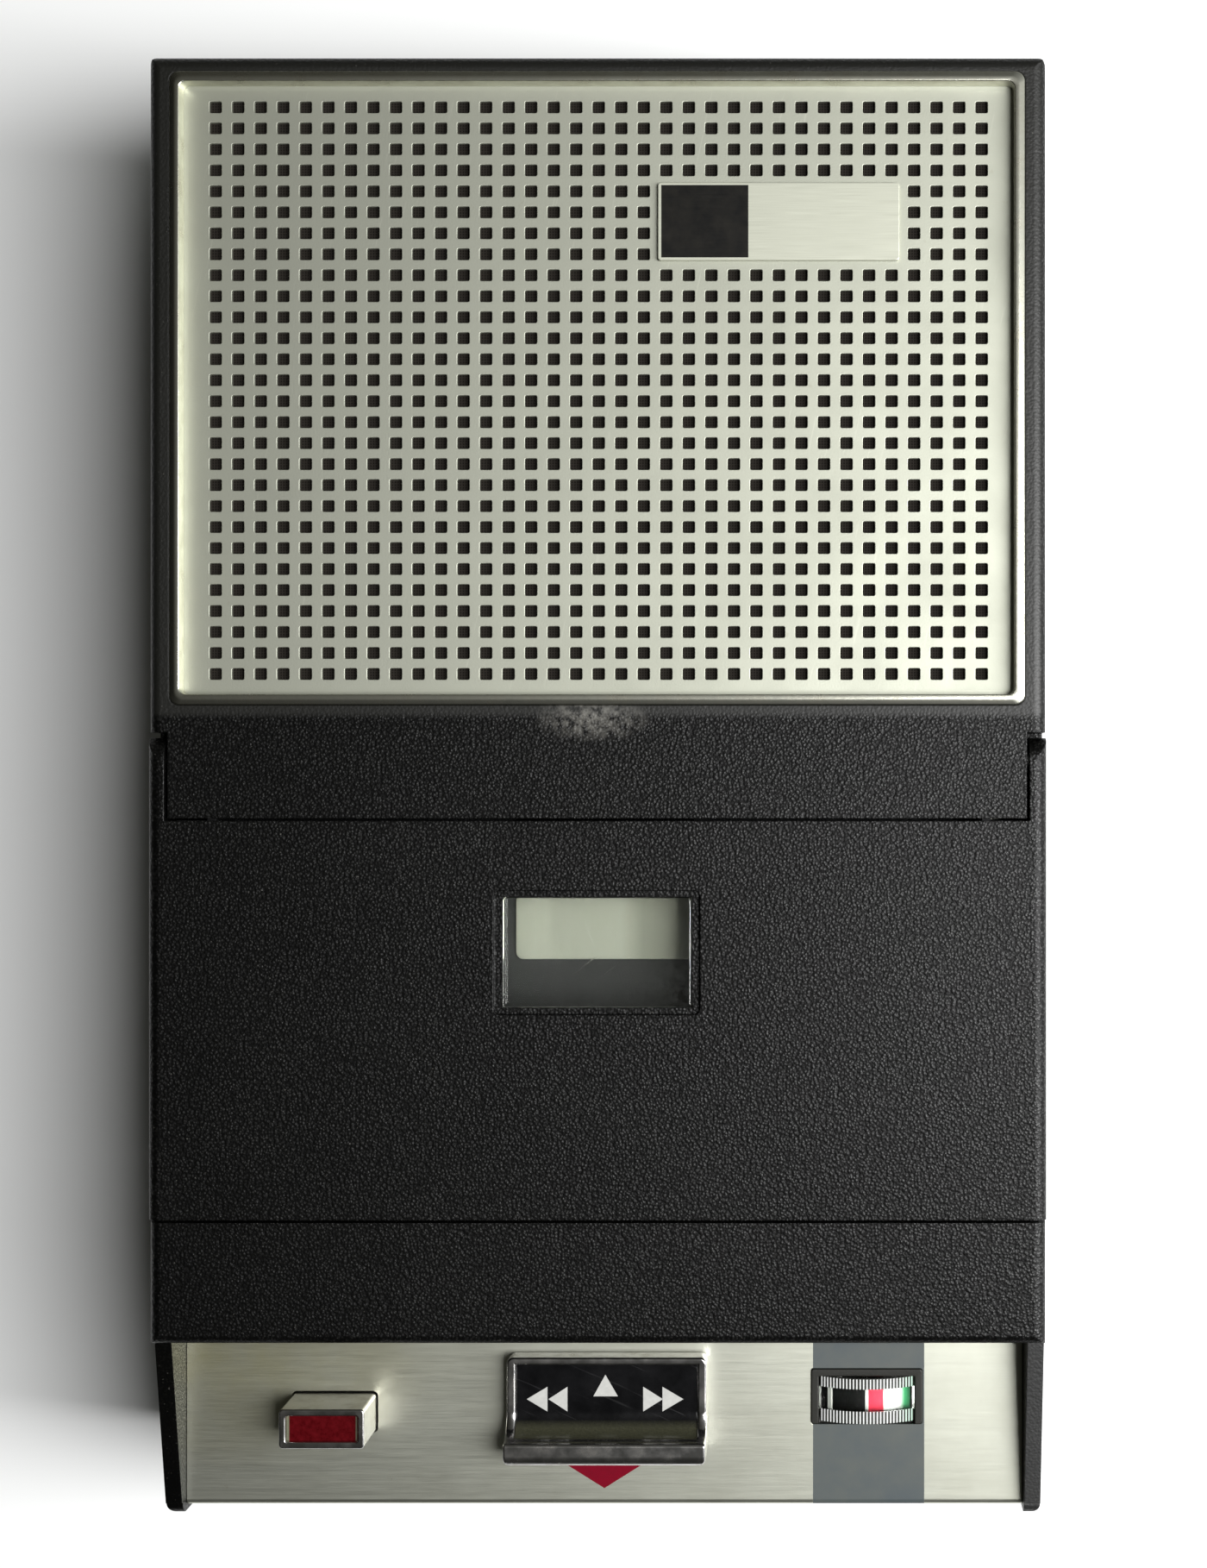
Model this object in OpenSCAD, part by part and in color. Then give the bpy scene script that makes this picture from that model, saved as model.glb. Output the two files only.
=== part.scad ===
// Portable cassette recorder lying on its back, seen from above: grille to the rear,
// cassette lid in the middle, control well to the front.
// The origin is the centre of the footprint on the table, +X is right, +Y rear, +Z up.

/* [Case] */
// Width over the sides of the case
body_w = 118; // [116:1:142]
// Length from the rear wall to the front tips of the cheeks
body_l = 194.3; // [190:0.1:235]
// Height from the table to the top of the lid
body_h = 55; // [54:1:67]
// Wall thickness of both case halves
wall = 2.2; // [1.8:0.1:2.6]
// Height of the feet
foot_h = 2; // [1:0.5:3]
// Height of the parting line above the table
split_z = 27; // [26:1:29]
// Radius of the upright corners
corner_r = 1.5; // [1:0.1:3]
// Radius of the long edges
edge_r = 1.6; // [0.8:0.1:2]
// Thickness of the top of the case
top_t = 2.4; // [1.8:0.1:2.6]

/* [Layout of the top, rear to front] */
// Strip of case between the rear wall and the grille frame
rear_margin = 2.1; // [1.2:0.1:4]
// Strip of case beside the grille frame
side_margin = 2.8; // [2.6:0.1:5]
// Length of the fixed band that the lid is hinged to
hinge_band_l = 14.9; // [14:0.1:20]
// Length of the lid
lid_l = 53.1; // [52:0.1:60]
// Length of the fixed band in front of the lid
front_band_l = 16; // [15:0.1:20]
// Length of the control well at the front
well_l = 25; // [25:0.1:32]

/* [Grille] */
// Height of the grille frame above the case
rim_raise = 0.4; // [0.2:0.1:1]
// Width of the grille frame
rim_w = 1.6; // [1.2:0.1:2.2]
// Outer corner radius of the grille frame
rim_corner_r = 1.3; // [1:0.1:1.6]
// Inner corner radius of the grille frame
rim_inner_r = 0.9; // [0.6:0.1:2]
// Depth of the pierced plate below the top of its frame
plate_drop = 2.4; // [1.6:0.1:2.8]
// Thickness of the pierced plate
plate_t = 0.6; // [0.4:0.1:0.8]
// Spacing of the holes from left to right
hole_pitch_x = 2.978; // [2.7:0.001:4]
// Spacing of the holes from front to rear
hole_pitch_y = 2.773; // [2.5:0.001:4]
// Width of one hole
hole_w = 1.6; // [1:0.1:1.9]
// Length of one hole
hole_l = 1.5; // [1:0.1:1.8]
// Columns of holes that the badge covers
badge_cols = 11; // [6:1:14]
// Rows of holes that the badge covers
badge_rows = 4; // [2:1:6]

/* [Cassette compartment] */
// Width of a compact cassette
cassette_w = 100.4; // [100.4]
// Length of a compact cassette from label edge to tape edge
cassette_l = 63.8; // [63.8]
// Thickness of a compact cassette at its labels
cassette_t = 8.7; // [8.7]
// Distance between the two hubs
hub_pitch = 42.5; // [42.5]
// Depth of the compartment floor below the top of the lid
floor_drop = 13.2; // [13:0.1:14]
// Thickness of the lid
lid_t = 2.4; // [2:0.1:2.6]
// Depth of the side skirts of the lid
skirt_h = 12; // [10:0.5:12]
// Distance of the hinge axis behind the rear edge of the lid
hinge_back = 7.6; // [7:0.1:8.5]
// Depth of the hinge axis below the top of the lid
hinge_drop = 3; // [2.6:0.1:3.2]
// Width of the window
window_w = 24.7; // [18:0.1:32]
// Length of the window
window_l = 14.4; // [10:0.1:18]

/* [Controls] */
// Depth of the control panel below the top of the lid
panel_drop = 11; // [10.6:0.1:11.4]
// Thickness of the panel sheet
panel_t = 0.6; // [0.5:0.1:0.8]
// Width of the key
key_w = 26.9; // [24:0.1:32]
// Length of the key from front to rear
key_l = 13.1; // [12.6:0.1:14]
// Travel of the key towards play
play_travel = 3.1; // [2:0.1:3.1]
// Travel of the key towards stop and eject
eject_travel = 2; // [1:0.1:2]
// Travel of the key to each side for winding
wind_travel = 3.5; // [2:0.1:3.5]
// Distance of the key below the front of the band
key_back = 3.4; // [3.4:0.1:5]
// Distance of the key to the right of the middle
key_x = 0.6; // [-2:0.1:2]
// Width of the record button
button_w = 11.3; // [9:0.1:14]
// Length of the record button
button_l = 5.2; // [5:0.1:7]
// Height of the record button above the panel
button_h = 8.8; // [7:0.1:9]
// Travel of the record button
button_travel = 3; // [2:0.1:3]
// Width of the meter
meter_w = 15.1; // [13:0.1:17]
// Length of the meter
meter_l = 7.5; // [7:0.1:9]

/* [Power] */
// Diameter of a battery cell
cell_d = 26.2; // [25:0.1:26.2]
// Length of a battery cell
cell_l = 50; // [48:0.1:50]

/* [Hidden] */
$fn = 48;

// Gap between pieces that move past each other
clear = 0.3;
// Radial clearance of a shaft that turns in a hole
run = 0.05;
// Reach of a cut beyond the face that it opens
cut = 1;

// Stations along the top
y_rear = body_l / 2;
y_front = -body_l / 2;
y_well = y_front + well_l;
y_lid_front = y_well + front_band_l;
y_lid_rear = y_lid_front + lid_l;
y_grille_front = y_lid_rear + hinge_band_l;
grille_w = body_w - 2 * side_margin;
grille_l = y_rear - rear_margin - y_grille_front;
grille_y = y_grille_front + grille_l / 2;
inner_x = body_w / 2 - wall;

// Levels from the top down
case_z = body_h - rim_raise;
band_z = case_z - top_t;
plate_z = body_h - plate_drop;
cloth_t = 0.3;
recess_z = plate_z - plate_t - cloth_t;
baffle_t = 1.6;
baffle_z = recess_z - baffle_t;
panel_z = body_h - panel_drop;
floor_z = body_h - floor_drop;
skirt_z = body_h - skirt_h;
saddle_z = skirt_z - clear;
chassis_t = 1.4;
chassis_z = floor_z - 3.2;
chassis_z0 = chassis_z - chassis_t;

// Control well
band_wall = 1.2;
band_r = 1.2;
cheek_rear_z = body_h - 3.5;
cheek_front_z = body_h - 9.2;
lip_back = 0.75;
y_lip = y_front + lip_back;
lip_h = 5.8;
panel_bend = 0.2;
sill_t = 1.6;

// Lid and its hinge
lid_overhang = 0.1;
lid_x = body_w / 2 + lid_overhang;
lid_wall = 2.3;
lid_inner_x = lid_x - lid_wall;
band_x = lid_inner_x - clear - 0.05;
hinge_y = y_lid_rear + hinge_back;
hinge_z = body_h - hinge_drop;
hinge_pin_r = 1.2;
pin_boss_w = 4.2;
pin_seat = 1.6;
lid_y0 = y_lid_front + clear;
lid_y1 = y_lid_rear - clear;

// Cassette deck
hub_from_tape_edge = 34.4;
cassette_y = y_lid_front + 1.1;
hub_y = cassette_y + hub_from_tape_edge;
cassette_mid_z = floor_z + cassette_t / 2 + 0.15;
tray_x = cassette_w / 2 + 0.5;
tray_t = 1.2;
tray_floor_t = 1.6;
tray_rear = cassette_y + cassette_l + 0.7;
ledge_z = body_h - 4;
thick_w = 74;
thick_l = 16;
thick_drop = 1.8;
spindle_r = 1.5;
spindle_hub_r = 4.6;
wheel_r = 9;
wheel_t = 2.6;
wheel_z = chassis_z0 - 7;
bush_r = 3;

// Capstan drive
capstan_x = 29.5;
capstan_y = cassette_y + 7.3;
capstan_r = 1.25;
fly_r = 22;
fly_t = 3.5;
fly_z = chassis_z0 - 11.2;
fly_hub_r = 8;
idler_reach = norm([hub_pitch / 2 - capstan_x, hub_y - capstan_y]);
idler_r = (idler_reach - fly_hub_r - wheel_r) / 2 - run;
idler_at = (fly_hub_r + idler_r + run) / idler_reach;
idler_x = capstan_x + (hub_pitch / 2 - capstan_x) * idler_at;
idler_y = capstan_y + (hub_y - capstan_y) * idler_at;
idler_pin_r = 1;
belt_w = 1.2;
belt_t = 1.1;
groove = 0.8;
belt_z = fly_z + (fly_t - belt_w) / 2;
motor_x = -28;
motor_y = capstan_y - 1;
motor_r = 15;
motor_h = 20;
motor_z = fly_z - 1 - motor_h;
shaft_r = 1;
pulley_r = 3.3;
bracket_t = 1;
bridge_z = fly_z - 4.8;

// Heads and their carriage
carriage_ratio = 1.6;
carriage_z = chassis_z + 0.4;
carriage_t = 1.2;
carriage_rear = cassette_y - carriage_ratio * play_travel - 1.7;
carriage_front = y_well - 7.8;
stud_y = y_well + 2;
roller_r = 5.25;
roller_x = capstan_x;
roller_y = capstan_y - capstan_r - run - roller_r - carriage_ratio * play_travel;
arm_x = roller_x + 11;
arm_y = roller_y - 4.3;
pivot_r = 1.3;

// Key and record button
key_y1 = y_well - key_back;
key_y0 = key_y1 - key_l;
key_z = panel_z + 0.35;
key_rim_z = panel_z + 3.7;
key_bar_z = panel_z + 7.6;
key_bar_l = 2.6;
key_dish_r = 3.3;
key_wall = 1;
stem_w = 8;
stem_l = 3;
stem_y = key_y0 + 6.9;
foot_w = 14;
foot_l = 6.8;
carrier_z = chassis_z + 2;
carrier_t = 1.2;
carrier_x = 14;
slot_gap = 0.4;
button_gap = 0.2;
button_x = -36.6;
button_y = y_well - 11.6;
button_z = panel_z + button_h;
button_wall = 0.9;

// Meter
meter_x = 35.6;
meter_y = y_well - 9.5;
meter_wall = 1.05;
meter_r = 11.1;
meter_z = panel_z + 0.3;
pivot_z = meter_z + 1.9 - meter_r;
lens_t = 0.9;
scale_r = 8.4;
needle_rest = -31;

// Speaker
speaker_r = min(40, grille_l / 2 - 1.2, grille_w / 2 - 1.2);
cone_r = speaker_r - 6;

// Battery bay
cell_pitch = cell_d + 0.3;
bay_x = 2 * cell_pitch + 0.4;
bay_t = 1.2;
cell_z = foot_h + 2.6 + cell_d / 2;
bay_z0 = foot_h + 2.3;
bay_z1 = cell_z + cell_d / 2 + 0.2;
bay_y0 = y_grille_front - 0.4;
cross_l = cell_d + 0.8;
bay_y1 = bay_y0 + cross_l + bay_t;
cell_room = cell_l + 3;
cover_x = 50.8;
cover_t = 1.6;
cover_y0 = bay_y0 - 0.2;

// Side controls and sockets
thumb_r = 8;
thumb_out = 1.2;
thumb_x = body_w / 2 + thumb_out - thumb_r;
thumb_y = y_front + 12.4;
thumb_t = 4;
volume_z = chassis_z0 - 5.7;
level_z = volume_z - 12;
socket_z = foot_h + 12;
socket_pitch = 17;
socket_y = y_lid_rear - 14.7;
socket_r = 7.5;
jack_r = 3.6;
jack_y = y_lid_rear - 1.7;

// Posts and screws
post_w = 7;
post_x = body_w / 2 - 6;
post_ys = [y_well + 5.4, y_lid_rear + 7.3];
screw_r = 1.5;
foot_r = 3;
foot_x = body_w / 2 - 4.8;
foot_in = 12;

// A block between two stations on each axis
module span(x, y, z)
    translate([x[0], y[0], z[0]]) cube([x[1] - x[0], y[1] - y[0], z[1] - z[0]]);

// A rectangle about the origin with rounded corners
module round_rect(w, l, r) {
    square([w - 2 * r, l], center = true);
    square([w, l - 2 * r], center = true);
    for (x = [-1, 1], y = [-1, 1])
        translate([x * (w / 2 - r), y * (l / 2 - r)]) circle(r);
}

// A side view outline, drawn as Y and Z, carried from x0 to x1
module across(x0, x1)
    rotate([90, 0, 90]) translate([0, 0, x0]) linear_extrude(x1 - x0) children();

// A front view outline, drawn as X and Z, carried from y0 to y1
module along(y0, y1)
    rotate([90, 0, 0]) translate([0, 0, -y1]) linear_extrude(y1 - y0) children();

// What a rounding takes off a corner whose tip is the origin and whose body lies at -X, -Y
module corner_cut(r) {
    difference() {
        translate([-r, -r]) square(r + cut);
        translate([-r, -r]) circle(r);
    }
}

// The same on both sides of the middle
module both_sides() {
    children();
    mirror([1, 0, 0]) children();
}

// The same at both ends
module both_ends() {
    children();
    mirror([0, 1, 0]) children();
}

// An upright hole or pin between two levels
module upright(x, y, z0, z1, r) translate([x, y, z0]) cylinder(h = z1 - z0, r = r);

// Outer form of the closed case between two levels
module case_form(z0, z1) {
    intersection() {
        translate([0, 0, z0]) linear_extrude(z1 - z0) round_rect(body_w, body_l, corner_r);
        across(-body_w, body_w) difference() {
            polygon([[y_front, foot_h], [y_rear, foot_h], [y_rear, case_z], [y_well, case_z],
                [y_well, cheek_rear_z], [y_front, cheek_front_z]]);
            translate([y_rear, case_z]) corner_cut(edge_r);
            translate([y_rear, foot_h]) mirror([0, 1]) corner_cut(edge_r);
            translate([y_well, case_z]) mirror([1, 0]) corner_cut(band_r);
            translate([y_front, foot_h]) rotate(180) corner_cut(edge_r + 1.4);
            translate([y_front, cheek_front_z]) mirror([1, 0]) corner_cut(edge_r);
        }
        along(-body_l, body_l) difference() {
            translate([-body_w / 2, foot_h]) square([body_w, case_z - foot_h]);
            for (side = [0, 1]) mirror([side, 0]) {
                translate([body_w / 2, case_z]) corner_cut(edge_r);
                translate([body_w / 2, foot_h]) mirror([0, 1]) corner_cut(edge_r);
            }
        }
    }
}

// Square posts beside the side walls that the case screws pass through
module screw_posts(z0, z1) {
    for (y = post_ys)
        both_sides() span([post_x - post_w / 2, inner_x + wall / 2],
            [y - post_w / 2, y + post_w / 2], [z0, z1]);
}

module lower_case() {
    floor_top = foot_h + wall;
    color([0.09, 0.09, 0.1]) difference() {
        union() {
            difference() {
                case_form(foot_h, split_z);
                span([-inner_x, inner_x], [y_front + wall, y_rear - wall],
                    [floor_top, split_z + cut]);
            }
            screw_posts(floor_top, split_z);
            chassis_posts(floor_top);
            board_posts(floor_top);
        }
        // Opening to the cells, and the grooved slide that its cover runs in
        span([-cover_x + 1.3, cover_x - 1.3], [bay_y0 + 1.2, y_rear - wall - 1.8],
            [0, floor_top + cut]);
        span([-cover_x + 1, cover_x - 1], [cover_y0, y_rear + cut], [0, foot_h + 0.9]);
        span([-cover_x, cover_x], [cover_y0, y_rear + cut], [foot_h + 0.75, foot_h + 1.75]);
        // Screw holes with sunk heads
        for (side = [-1, 1], y = post_ys) {
            upright(side * post_x, y, 0, split_z + cut, screw_r + 0.2);
            upright(side * post_x, y, 0, foot_h + 7, 3.1);
        }
        // Sockets in the left side
        for (i = [0:2]) side_hole(-body_w / 2 - cut, -inner_x + cut,
            socket_y - i * socket_pitch, socket_z, socket_r + 0.05);
        side_hole(-body_w / 2 - cut, -inner_x + cut, jack_y, socket_z, jack_r + 0.05);
        thumb_slot(level_z);
    }
}

// A hole through a side wall
module side_hole(x0, x1, y, z, r)
    translate([x0, y, z]) rotate([0, 90, 0]) cylinder(h = x1 - x0, r = r);

// Slot in the right side that a thumb wheel stands out of
module thumb_slot(z)
    span([inner_x - cut, body_w / 2 + cut], [thumb_y - thumb_r + 0.6, thumb_y + thumb_r - 0.6],
        [z - 0.4, z + thumb_t + 0.4]);

// Round posts that carry the chassis plate
module chassis_posts(z0) {
    for (side = [-1, 1], y = [y_well + 3.4, y_lid_rear + 6.3])
        upright(side * 45.5, y, z0, chassis_z0, 2.8);
}

// Round posts that carry the circuit board
module board_posts(z0) {
    for (x = [-3, 37], y = [y_well + 12.5, y_lid_rear + 1])
        upright(x, y, z0, foot_h + 6, 2.4);
}

module upper_case() {
    color([0.09, 0.09, 0.1]) difference() {
        union() {
            difference() {
                case_form(split_z, case_z);
                upper_hollows();
            }
            // Hinge pin bosses under the ends of the fixed band
            both_sides() span([band_x - pin_boss_w, band_x - 1], [hinge_y - 3.3, hinge_y + 3.3],
                [hinge_z - 3.3, band_z + 0.5]);
            // Sill that the lip of the panel wraps over
            span([-inner_x, inner_x], [y_lip + panel_t, y_lip + panel_t + sill_t],
                [split_z + 4, panel_z - panel_t]);
            screw_posts(split_z, floor_z - tray_floor_t - 0.6);
        }
        // Space that the lid closes, with room for its arms beside the fixed band
        span([-body_w, body_w], [y_lid_front, y_lid_rear], [saddle_z, body_h + cut]);
        both_sides() across(band_x, body_w) polygon([
            [y_lid_front, saddle_z], [lid_y1 + 0.2, saddle_z],
            [hinge_y + 0.2, hinge_z - hinge_drop - clear - 0.1],
            [hinge_y + hinge_drop + 0.7, hinge_z - hinge_drop - clear - 0.1],
            [hinge_y + hinge_drop + 0.7, body_h + cut], [y_lid_front, body_h + cut]]);
        both_sides() side_hole(band_x - pin_boss_w - cut, body_w / 2, hinge_y, hinge_z,
            hinge_pin_r);
        // Rounding of the sill under the bend of the panel
        across(-inner_x, inner_x) translate([y_lip + panel_t, panel_z - panel_t])
            mirror([1, 0]) corner_cut(panel_bend);
        for (side = [-1, 1], y = post_ys)
            upright(side * post_x, y, split_z - cut, split_z + 10, screw_r);
        thumb_slot(volume_z);
    }
}

// Everything that is hollow in the upper case
module upper_hollows() {
    low = split_z - cut;
    // Grille recess, and the round opening in the baffle below it
    translate([0, grille_y, recess_z]) linear_extrude(body_h)
        round_rect(grille_w + 0.1, grille_l + 0.1, rim_corner_r + 0.05);
    upright(0, grille_y, baffle_z - cut, body_h, cone_r + 1);
    // Under the baffle and under the fixed hinge band
    span([-inner_x, inner_x], [y_lid_rear + 2, y_rear - wall], [low, baffle_z]);
    span([-band_x + 1.8, band_x - 1.8], [y_lid_rear - cut, y_grille_front - 1],
        [low, band_z]);
    span([-inner_x, inner_x], [y_lid_front - cut, y_lid_rear + 2 + cut],
        [low, hinge_z - hinge_drop - 2.5]);
    // Under the lid, which is open to above, and under the front band
    span([-inner_x, inner_x], [y_well + band_wall, y_lid_front + cut], [low, band_z]);
    // Under the panel, and the well itself between the cheeks
    span([-inner_x, inner_x], [y_front + wall, y_well + wall + cut], [low, panel_z]);
    span([-inner_x, inner_x], [y_lip + panel_t, y_well], [panel_z - panel_t, body_h]);
    span([-inner_x, inner_x], [y_front - cut, y_lip + panel_t], [panel_z - lip_h, body_h]);
}

// Section of the frame, from its inner face out: a step that lets the inner edge catch the
// light, and a rounded outer edge
module rim_section(w, step) {
    h = body_h - recess_z;
    difference() {
        square([w, h]);
        translate([w, h]) corner_cut(0.45);
        translate([-cut, h - 0.35]) square([cut + step, cut]);
    }
}

// The section carried along the four sides and turned round the corners
module grille_frame() {
    x = grille_w / 2 - rim_corner_r;
    y = grille_l / 2 - rim_corner_r;
    in_x = grille_w / 2 - rim_w;
    in_y = grille_l / 2 - rim_w;
    color([0.72, 0.71, 0.66]) translate([0, grille_y, recess_z]) both_ends() both_sides() {
        translate([in_x, y, 0]) rotate([90, 0, 0]) linear_extrude(y) rim_section(rim_w, 0.25);
        translate([0, in_y, 0]) rotate([90, 0, 90]) linear_extrude(x)
            rim_section(rim_w, 0.25);
        translate([x, y, 0]) rotate_extrude(angle = 90) rim_section(rim_corner_r, 0);
        // Round inner corner, up to the step
        translate([in_x, in_y, 0]) linear_extrude(body_h - recess_z - 0.35)
            corner_cut(rim_inner_r);
    }
}

// Size of the pierced plate, its least plain edge, and the holes that fit in it
pierced_w = grille_w - 2 * rim_w - 0.04;
pierced_l = grille_l - 2 * rim_w - 0.04;
edge_x = 3;
edge_y = 1.7;
hole_cols = floor((pierced_w - 2 * edge_x - hole_w) / hole_pitch_x) + 1;
hole_rows = floor((pierced_l - 2 * edge_y - hole_l) / hole_pitch_y) + 1;
badge_col = hole_cols - badge_cols - 4;
badge_row = 4;

function hole_x(i) = (i - (hole_cols - 1) / 2) * hole_pitch_x;
function hole_y(j) = ((hole_rows - 1) / 2 - j) * hole_pitch_y;

// The plate is drawn as the bars between its holes
module grille() {
    bar_w = hole_pitch_x - hole_w;
    bar_l = hole_pitch_y - hole_l;
    color([0.75, 0.74, 0.68]) translate([0, grille_y, plate_z - plate_t])
        linear_extrude(plate_t) {
            difference() {
                round_rect(pierced_w, pierced_l, rim_inner_r);
                square([(hole_cols - 1) * hole_pitch_x + hole_w,
                    (hole_rows - 1) * hole_pitch_y + hole_l], center = true);
            }
            for (i = [0:hole_cols - 2])
                translate([hole_x(i + 0.5) - bar_w / 2, -pierced_l / 2])
                    square([bar_w, pierced_l]);
            for (j = [0:hole_rows - 2])
                translate([-pierced_w / 2, hole_y(j + 0.5) - bar_l / 2])
                    square([pierced_w, bar_l]);
            translate([hole_x(badge_col) - hole_w, hole_y(badge_row + badge_rows - 1) - hole_l])
                square([(badge_cols - 1) * hole_pitch_x + 2 * hole_w,
                    (badge_rows - 1) * hole_pitch_y + 2 * hole_l]);
        }
}

module grille_cloth() {
    color([0.05, 0.05, 0.05]) translate([0, grille_y, recess_z])
        linear_extrude(cloth_t) round_rect(pierced_w, pierced_l, rim_inner_r);
}

module badge_plate() {
    w = (badge_cols - 0.3) * hole_pitch_x;
    l = (badge_rows - 0.3) * hole_pitch_y;
    x = hole_x(badge_col + (badge_cols - 1) / 2);
    y = grille_y + hole_y(badge_row + (badge_rows - 1) / 2);
    color([0.7, 0.7, 0.68]) translate([x, y, plate_z]) linear_extrude(0.8)
        round_rect(w, l, 0.4);
}

// A bent sheet: a flat top that runs on below the band, and a lip down the front
module front_panel() {
    half = inner_x - 0.05;
    bend = panel_bend;
    color([0.72, 0.71, 0.68]) difference() {
        across(-half, half) difference() {
            translate([y_lip, panel_z - lip_h + 0.2])
                square([y_well + 1.4 - y_lip, lip_h - 0.2]);
            translate([y_lip + panel_t, panel_z - lip_h])
                square([y_well + 2 - y_lip, lip_h - panel_t - bend]);
            translate([y_lip + panel_t + bend, panel_z - lip_h])
                square([y_well + 2 - y_lip, lip_h - panel_t]);
            translate([y_lip + panel_t + bend, panel_z - panel_t - bend]) circle(bend);
            translate([y_lip, panel_z]) mirror([1, 0]) corner_cut(panel_t + bend);
        }
        // Slots for the key's stem, the record button and the meter
        translate([key_x, 0, 0])
            span([-stem_w / 2 - wind_travel - slot_gap, stem_w / 2 + wind_travel + slot_gap],
                [stem_y - stem_l / 2 - eject_travel - slot_gap,
                stem_y + stem_l / 2 + play_travel + slot_gap], [panel_z - cut, panel_z + cut]);
        panel_cut(button_x, button_y, button_w + 2 * button_gap, button_l + 2 * button_gap, 0.7);
        panel_cut(meter_x, meter_y, meter_w + 0.1, meter_l + 0.1, 0.4);
    }
}

module panel_cut(x, y, w, l, r)
    translate([x, y, panel_z - cut]) linear_extrude(2 * cut) round_rect(w, l, r);

module meter_housing() {
    floor_h = pivot_z - 2.6;
    color([0.16, 0.16, 0.16]) difference() {
        union() {
            translate([meter_x, meter_y, floor_h]) linear_extrude(meter_z - floor_h)
                round_rect(meter_w, meter_l, 0.4);
            // Flange that the panel rests on
            translate([meter_x, meter_y, panel_z - panel_t - 1]) linear_extrude(1)
                round_rect(meter_w + 2, meter_l + 2, 0.6);
        }
        span([meter_x - meter_w / 2 + meter_wall, meter_x + meter_w / 2 - meter_wall],
            [meter_y - meter_l / 2 + meter_wall, meter_y + meter_l / 2 - meter_wall],
            [floor_h + 1, meter_z + cut]);
        // Needle pivot bearing
        translate([meter_x, meter_y + meter_l / 2 + cut, pivot_z]) rotate([90, 0, 0])
            cylinder(h = meter_l + 2 * cut, r = 0.55, $fn = 24);
    }
}

// A curved strip about the needle's pivot
module meter_scale() {
    w = meter_w - 2 * meter_wall;
    color("white") along(meter_y - meter_l / 2 + meter_wall, meter_y + 1.3)
        translate([meter_x, pivot_z]) intersection() {
            difference() { circle(scale_r); circle(scale_r - 0.5); }
            translate([-w / 2, 6]) square([w, scale_r]);
        }
}

// Curved window over the scale, grooved in a strip along its front and its rear edge
module meter_lens() {
    w = meter_w - 2 * meter_wall;
    y0 = meter_y - meter_l / 2 + meter_wall;
    y1 = meter_y + meter_l / 2 - meter_wall;
    strip = 1.3;
    pitch = 2.4;
    count = floor(asin(w / 2 / meter_r) / pitch - 0.5);
    color([0.9, 0.95, 0.95, 0.4]) difference() {
        along(y0, y1) translate([meter_x, pivot_z]) intersection() {
            difference() { circle(meter_r); circle(meter_r - lens_t); }
            translate([-w / 2, 6]) square([w, meter_r]);
        }
        for (i = [-count:count], y = [y0 - cut, y1 - strip])
            translate([meter_x, y, pivot_z]) rotate([0, i * pitch, 0])
                span([-0.11, 0.11], [0, strip + cut], [meter_r - 0.2, meter_r + cut]);
    }
}

module meter_needle() {
    arm_y1 = meter_y + meter_l / 2 - meter_wall - 0.35;
    tip_r = meter_r - lens_t - 0.6;
    color("white") translate([meter_x, 0, pivot_z]) rotate([0, needle_rest, 0]) {
        // Spindle, arm up the rear wall and pointer forward over the scale
        translate([0, meter_y + meter_l / 2, 0]) rotate([90, 0, 0])
            cylinder(h = meter_l, r = 0.5, $fn = 24);
        span([-0.3, 0.3], [arm_y1 - 0.4, arm_y1], [0, tip_r]);
        span([-0.25, 0.25], [meter_y - 2.2, arm_y1], [tip_r - 0.4, tip_r]);
    }
}

module record_button() {
    low = chassis_z + button_travel + 0.4;
    color([0.8, 0.8, 0.82]) translate([button_x, button_y, 0]) difference() {
        translate([0, 0, low]) linear_extrude(button_z - low)
            round_rect(button_w, button_l, 0.5);
        translate([0, 0, button_z - 3]) linear_extrude(3 + cut)
            round_rect(button_w - 2 * button_wall, button_l - 2 * button_wall, 0.3);
        translate([0, 0, low - cut]) linear_extrude(button_z - 4.3 - low + cut)
            round_rect(button_w - 2 * button_wall, button_l - 2 * button_wall, 0.3);
    }
}

module record_cap() {
    color([0.6, 0.08, 0.08]) translate([button_x, button_y, button_z - 3])
        linear_extrude(2.5)
            round_rect(button_w - 2 * button_wall, button_l - 2 * button_wall, 0.3);
}

// Points of a helix of wire, and the tube swept along it
module coil(r, wire, pitch, turns, steps = 16, sides = 6) {
    n = turns * steps;
    points = [for (i = [0:n], k = [0:sides - 1])
        let (a = 360 * i / steps, b = 360 * k / sides, q = r + wire * cos(b))
            [q * cos(a), q * sin(a), pitch * i / steps + wire * sin(b)]];
    faces = concat([[for (k = [0:sides - 1]) k]],
        [[for (k = [sides - 1:-1:0]) n * sides + k]],
        [for (i = [0:n - 1], k = [0:sides - 1])
            let (a = i * sides + k, b = i * sides + (k + 1) % sides)
                [a, a + sides, b]],
        [for (i = [0:n - 1], k = [0:sides - 1])
            let (a = i * sides + k, b = i * sides + (k + 1) % sides)
                [b, a + sides, b + sides]]);
    polyhedron(points, faces);
}

// The spring is drawn at the length it has with the button down
module button_spring() {
    color("silver") translate([button_x, button_y, chassis_z + 0.25])
        coil(1.35, 0.2, 1.2, 4);
}

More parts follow.
